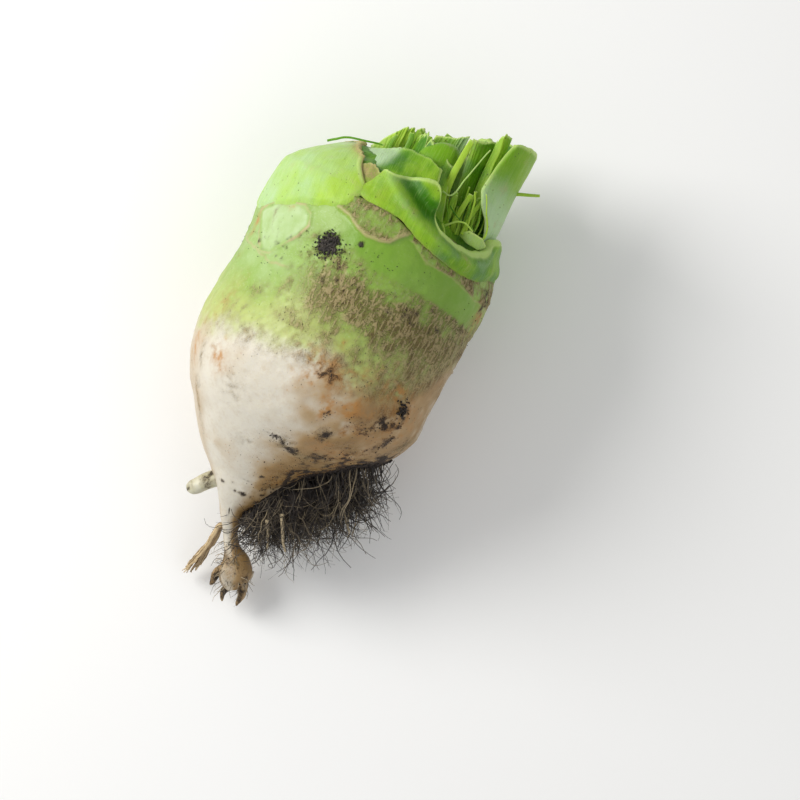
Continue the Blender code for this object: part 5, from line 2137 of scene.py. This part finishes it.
    def straight_roots(self) -> Piece:
        """The few pale, straighter roots that hang out of the soil.

        Returns:
            The roots as one object.
        """
        ends = (
            ((-86.0, 11.8, -5.0), (-96.5, 17.4, -9.0), 0.8),
            ((-81.0, 16.2, -4.0), (-94.5, 24.0, -8.0), 0.95),
            ((-62.0, 38.0, -14.0), (-78.0, 46.0, -30.0), 0.5),
            ((-70.0, 30.0, -15.0), (-86.0, 36.0, -30.0), 0.42),
            ((-58.0, 41.0, -14.0), (-76.0, 47.0, -36.0), 0.4),
        )
        steps = 26
        shares = np.linspace(0, 1, steps)
        paths, radii = [], []
        for foot, tip, radius in ends:
            path = np.array(foot) + shares[:, None] * (np.array(tip) - np.array(foot))
            path += 0.8 * shares[:, None] * FORM.wander(path, 13, 6)
            paths.append(path)
            radii.append(radius * (1.1 - 0.65 * shares))
        light = np.full((len(paths), steps), 0.95)
        return strand_mesh("straight_rootlets", np.array(paths), np.array(radii), 9, {"light": light})


@dataclass
class FrayedRoot:
    """A dry side root beside the tap root, split into strands."""

    path: Rows = ((-96.0, -4.6, -21.0), (-106.0, -5.6, -26.5), (-114.0, -7.4, -31.0), (-122.5, -8.4, -35.0))
    strands: int = 38

    def dress(self) -> list[Piece]:
        """Builds and paints the strands.

        Returns:
            The strands, in a list.
        """
        draw = np.random.default_rng(3)
        steps = 22
        shares = np.linspace(0, 1, steps)
        spine = between(shares, self.path)
        spread = np.interp(shares, (0, 0.3, 0.7, 1), (1.1, 1.7, 2.0, 3.0))
        paths, radii = [], []
        for _ in range(self.strands):
            angle, out = draw.uniform(0, 2 * math.pi), math.sqrt(draw.uniform(0.02, 1))
            off = np.array([0.3 * math.cos(angle), math.cos(angle), math.sin(angle)]) * out
            end = draw.uniform(0.72, 1.0)
            path = between(shares * end, spine) + spread[:, None] * off
            path += 0.6 * FORM.wander(path, 19, 4)
            paths.append(above_floor(path, 0.4))
            radii.append(draw.uniform(0.28, 0.62) * (1.05 - 0.5 * shares))
        light = np.repeat(draw.uniform(0.25, 1.0, self.strands)[:, None], steps, 1)
        piece = strand_mesh("frayed_root_strands", np.array(paths), np.array(radii), 6, {"light": light})
        straw = StrandFinish("straw finish", paint(112, 88, 62), paint(216, 192, 150), 0.75)
        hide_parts("frayed_side_root")
        return attach([piece], straw.material())


@dataclass
class ClingingSoil:
    """Clods and crumbs of soil on the skin."""

    seed: int = 77

    def clod(self, name: str, node: str, turn: float, along: float, size: float, count: int) -> Piece:
        """A heap of crumbs on the skin that stands for one crust.

        Args:
            name: the piece's name.
            node: the crust that it replaces.
            turn: of its middle, in degrees.
            along: of its middle, in mm.
            size: in mm.
            count: of crumbs.

        Returns:
            The heap.
        """
        draw = np.random.default_rng(self.seed + count)
        centres, sizes = [], []
        for _ in range(count):
            off = draw.normal(0, 0.46, 2) * size * (0.85, 1.0)
            heaped = math.exp(-(off @ off) / (size * size))
            grain = draw.uniform(0.2, 0.85) * (0.4 + 0.6 * heaped)
            lift = 0.1 + 0.6 * heaped * draw.uniform(0, 1)
            centres.append(FORM.spot(turn + off[0] / ARC, along + off[1], lift)[0])
            sizes.append(grain * draw.uniform(0.7, 1.2, 3))
        piece = grain_mesh(name, np.array(centres), np.array(sizes), self.seed)
        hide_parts(node)
        return piece

    def crumbs(self) -> Piece:
        """Small crumbs on the marks, along the tuft, on the tap root and on the shoulder.

        Returns:
            The crumbs as one object.
        """
        draw = np.random.default_rng(self.seed)
        centres, sizes = [], []

        def drop(turn: float, along: float, lift: float, low: float, high: float) -> None:
            """One crumb on the skin, of a half size between two."""
            centres.append(FORM.spot(turn, along, lift)[0])
            sizes.append(draw.uniform(low, high) * draw.uniform(0.7, 1.2, 3))

        for turn, along, wide, tall, strength in MARKS[Stain.SOIL]:
            for _ in range(round(4 + 10 * strength)):
                off = draw.normal(0, 0.6, 2) * (wide, tall)
                drop(turn + off[0] / ARC, along + off[1], 0.0, 0.12, 0.34)
        for _ in range(230):
            drop(draw.normal(56, 20), draw.uniform(-90, -44), 0.05, 0.12, 0.34)
        for _ in range(620):
            along = draw.uniform(-84, -40)
            drop(np.interp(along, *TUFT_EDGE) + abs(draw.normal(0, 16)), along, 0.1, 0.3, 1.05)
        for _ in range(150):
            drop(draw.uniform(-180, 180), draw.uniform(-118, -86), 0.02, 0.14, 0.4)
        for _ in range(240):
            drop(draw.normal(0, 45), draw.uniform(6, 36), 0.03, 0.1, 0.26)
        return grain_mesh("soil_crumbs", above_floor(np.array(centres), 0.3), np.array(sizes), self.seed + 1)

    def dress(self) -> list[Piece]:
        """Builds and paints the soil.

        Returns:
            The two clods and the crumbs.
        """
        shoulder = self.clod("shoulder_clod", "soil_crust_shoulder", -20.4, 28.0, 6.0, 300)
        flank = self.clod("flank_clod", "soil_crust_flank", 51.0, -19.0, 4.6, 60)
        crumbs = self.crumbs()
        dry = SoilFinish("dry soil finish", paint(46, 42, 39), paint(126, 116, 104))
        attach([shoulder], dry.material())
        attach([flank, crumbs], SoilFinish("crumb finish").material())
        return [shoulder, flank, crumbs]


@dataclass
class Studio:
    """Camera, light and floor."""

    heading: float = 27.0  # degrees that the root leans in the picture
    distance: float = 3.0
    lens: float = 321.4
    middle: Pair = (27.3, -31.5)  # of the picture, in mm right and up of the root's centre
    lamp_distance: float = 1.1
    floor_reach: float = 6.0

    def axes(self) -> tuple[Vector, Vector, Vector]:
        """Ways to the right, up and out of the picture.

        Returns:
            Three unit vectors.
        """
        tilt, lean = math.radians(PITCH), math.radians(self.heading)
        out = Vector((0, -math.sin(tilt), math.cos(tilt)))
        crown = Vector((0, math.cos(tilt), math.sin(tilt)))
        right = Vector((1, 0, 0))
        across = crown * math.sin(lean) + right * math.cos(lean)
        return across, crown * math.cos(lean) - right * math.sin(lean), out

    def camera(self) -> None:
        """The camera looks straight down on the root's length."""
        across, upward, out = self.axes()
        data = bpy.data.cameras.new("camera")
        data.sensor_width, data.lens = 36.0, self.lens
        data.clip_start, data.clip_end = 0.05, 20.0
        camera = bpy.data.objects.new("camera", data)
        centre = Vector((0, 0, REST_DEPTH * MM)) + (across * self.middle[0] + upward * self.middle[1]) * MM
        turn = Matrix((across, upward, out)).transposed().to_4x4()
        camera.matrix_world = Matrix.Translation(centre + out * self.distance) @ turn
        bpy.context.scene.collection.objects.link(camera)
        bpy.context.scene.camera = camera

    def lamp(self, name: str, toward: Vector, size: float, watts: float, colour: Triple) -> None:
        """A soft area light that looks at the root from a side.

        Args:
            name: the light's name.
            toward: the side that it stands on.
            size: across, in metres.
            watts: its power.
            colour: of its light.
        """
        data = bpy.data.lights.new(name, "AREA")
        data.shape, data.size, data.energy, data.color = "DISK", size, watts, colour
        light = bpy.data.objects.new(name, data)
        light.location = toward.normalized() * self.lamp_distance
        light.rotation_mode = "QUATERNION"
        light.rotation_quaternion = toward.to_track_quat("Z", "Y")
        bpy.context.scene.collection.objects.link(light)

    def dress(self) -> None:
        """Sets up the floor, the light and the camera."""
        reach = self.floor_reach
        rim = [(-reach, -reach, 0), (reach, -reach, 0), (reach, reach, 0), (-reach, reach, 0)]
        mesh = bpy.data.meshes.new("floor")
        mesh.from_pydata(rim, [], [(0, 1, 2, 3)])
        mesh.materials.append(FloorFinish().material())
        floor = bpy.data.objects.new("floor", mesh)
        bpy.context.scene.collection.objects.link(floor)
        across, upward, out = self.axes()
        self.lamp("key light", across * -0.85 + upward * 0.5 + out * 0.8, 0.6, 9.8, (1.0, 0.99, 0.965))
        self.lamp("fill light", across * 0.6 - upward * 0.5 + out * 0.9, 1.2, 1.5, (0.97, 0.98, 1.0))
        room = bpy.data.worlds.new("studio")
        room.use_nodes = True
        room.node_tree.nodes["Background"].inputs["Color"].default_value = (1.0, 1.0, 1.0, 1.0)
        room.node_tree.nodes["Background"].inputs["Strength"].default_value = 0.5
        bpy.context.scene.world = room
        bpy.context.scene.view_settings.view_transform = "Standard"
        self.camera()


def main() -> None:
    """Builds the root mustard on its floor and reports each piece."""
    logging.basicConfig(level=logging.INFO, format="%(name)s: %(message)s")
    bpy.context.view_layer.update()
    for part in (SwollenRoot(), Crown(), RootletTuft(), FrayedRoot(), ClingingSoil()):
        for piece in part.dress():
            LOG.info("%s has %d faces", piece.name, len(piece.data.polygons))
    Studio().dress()


if __name__ == "__main__":
    main()
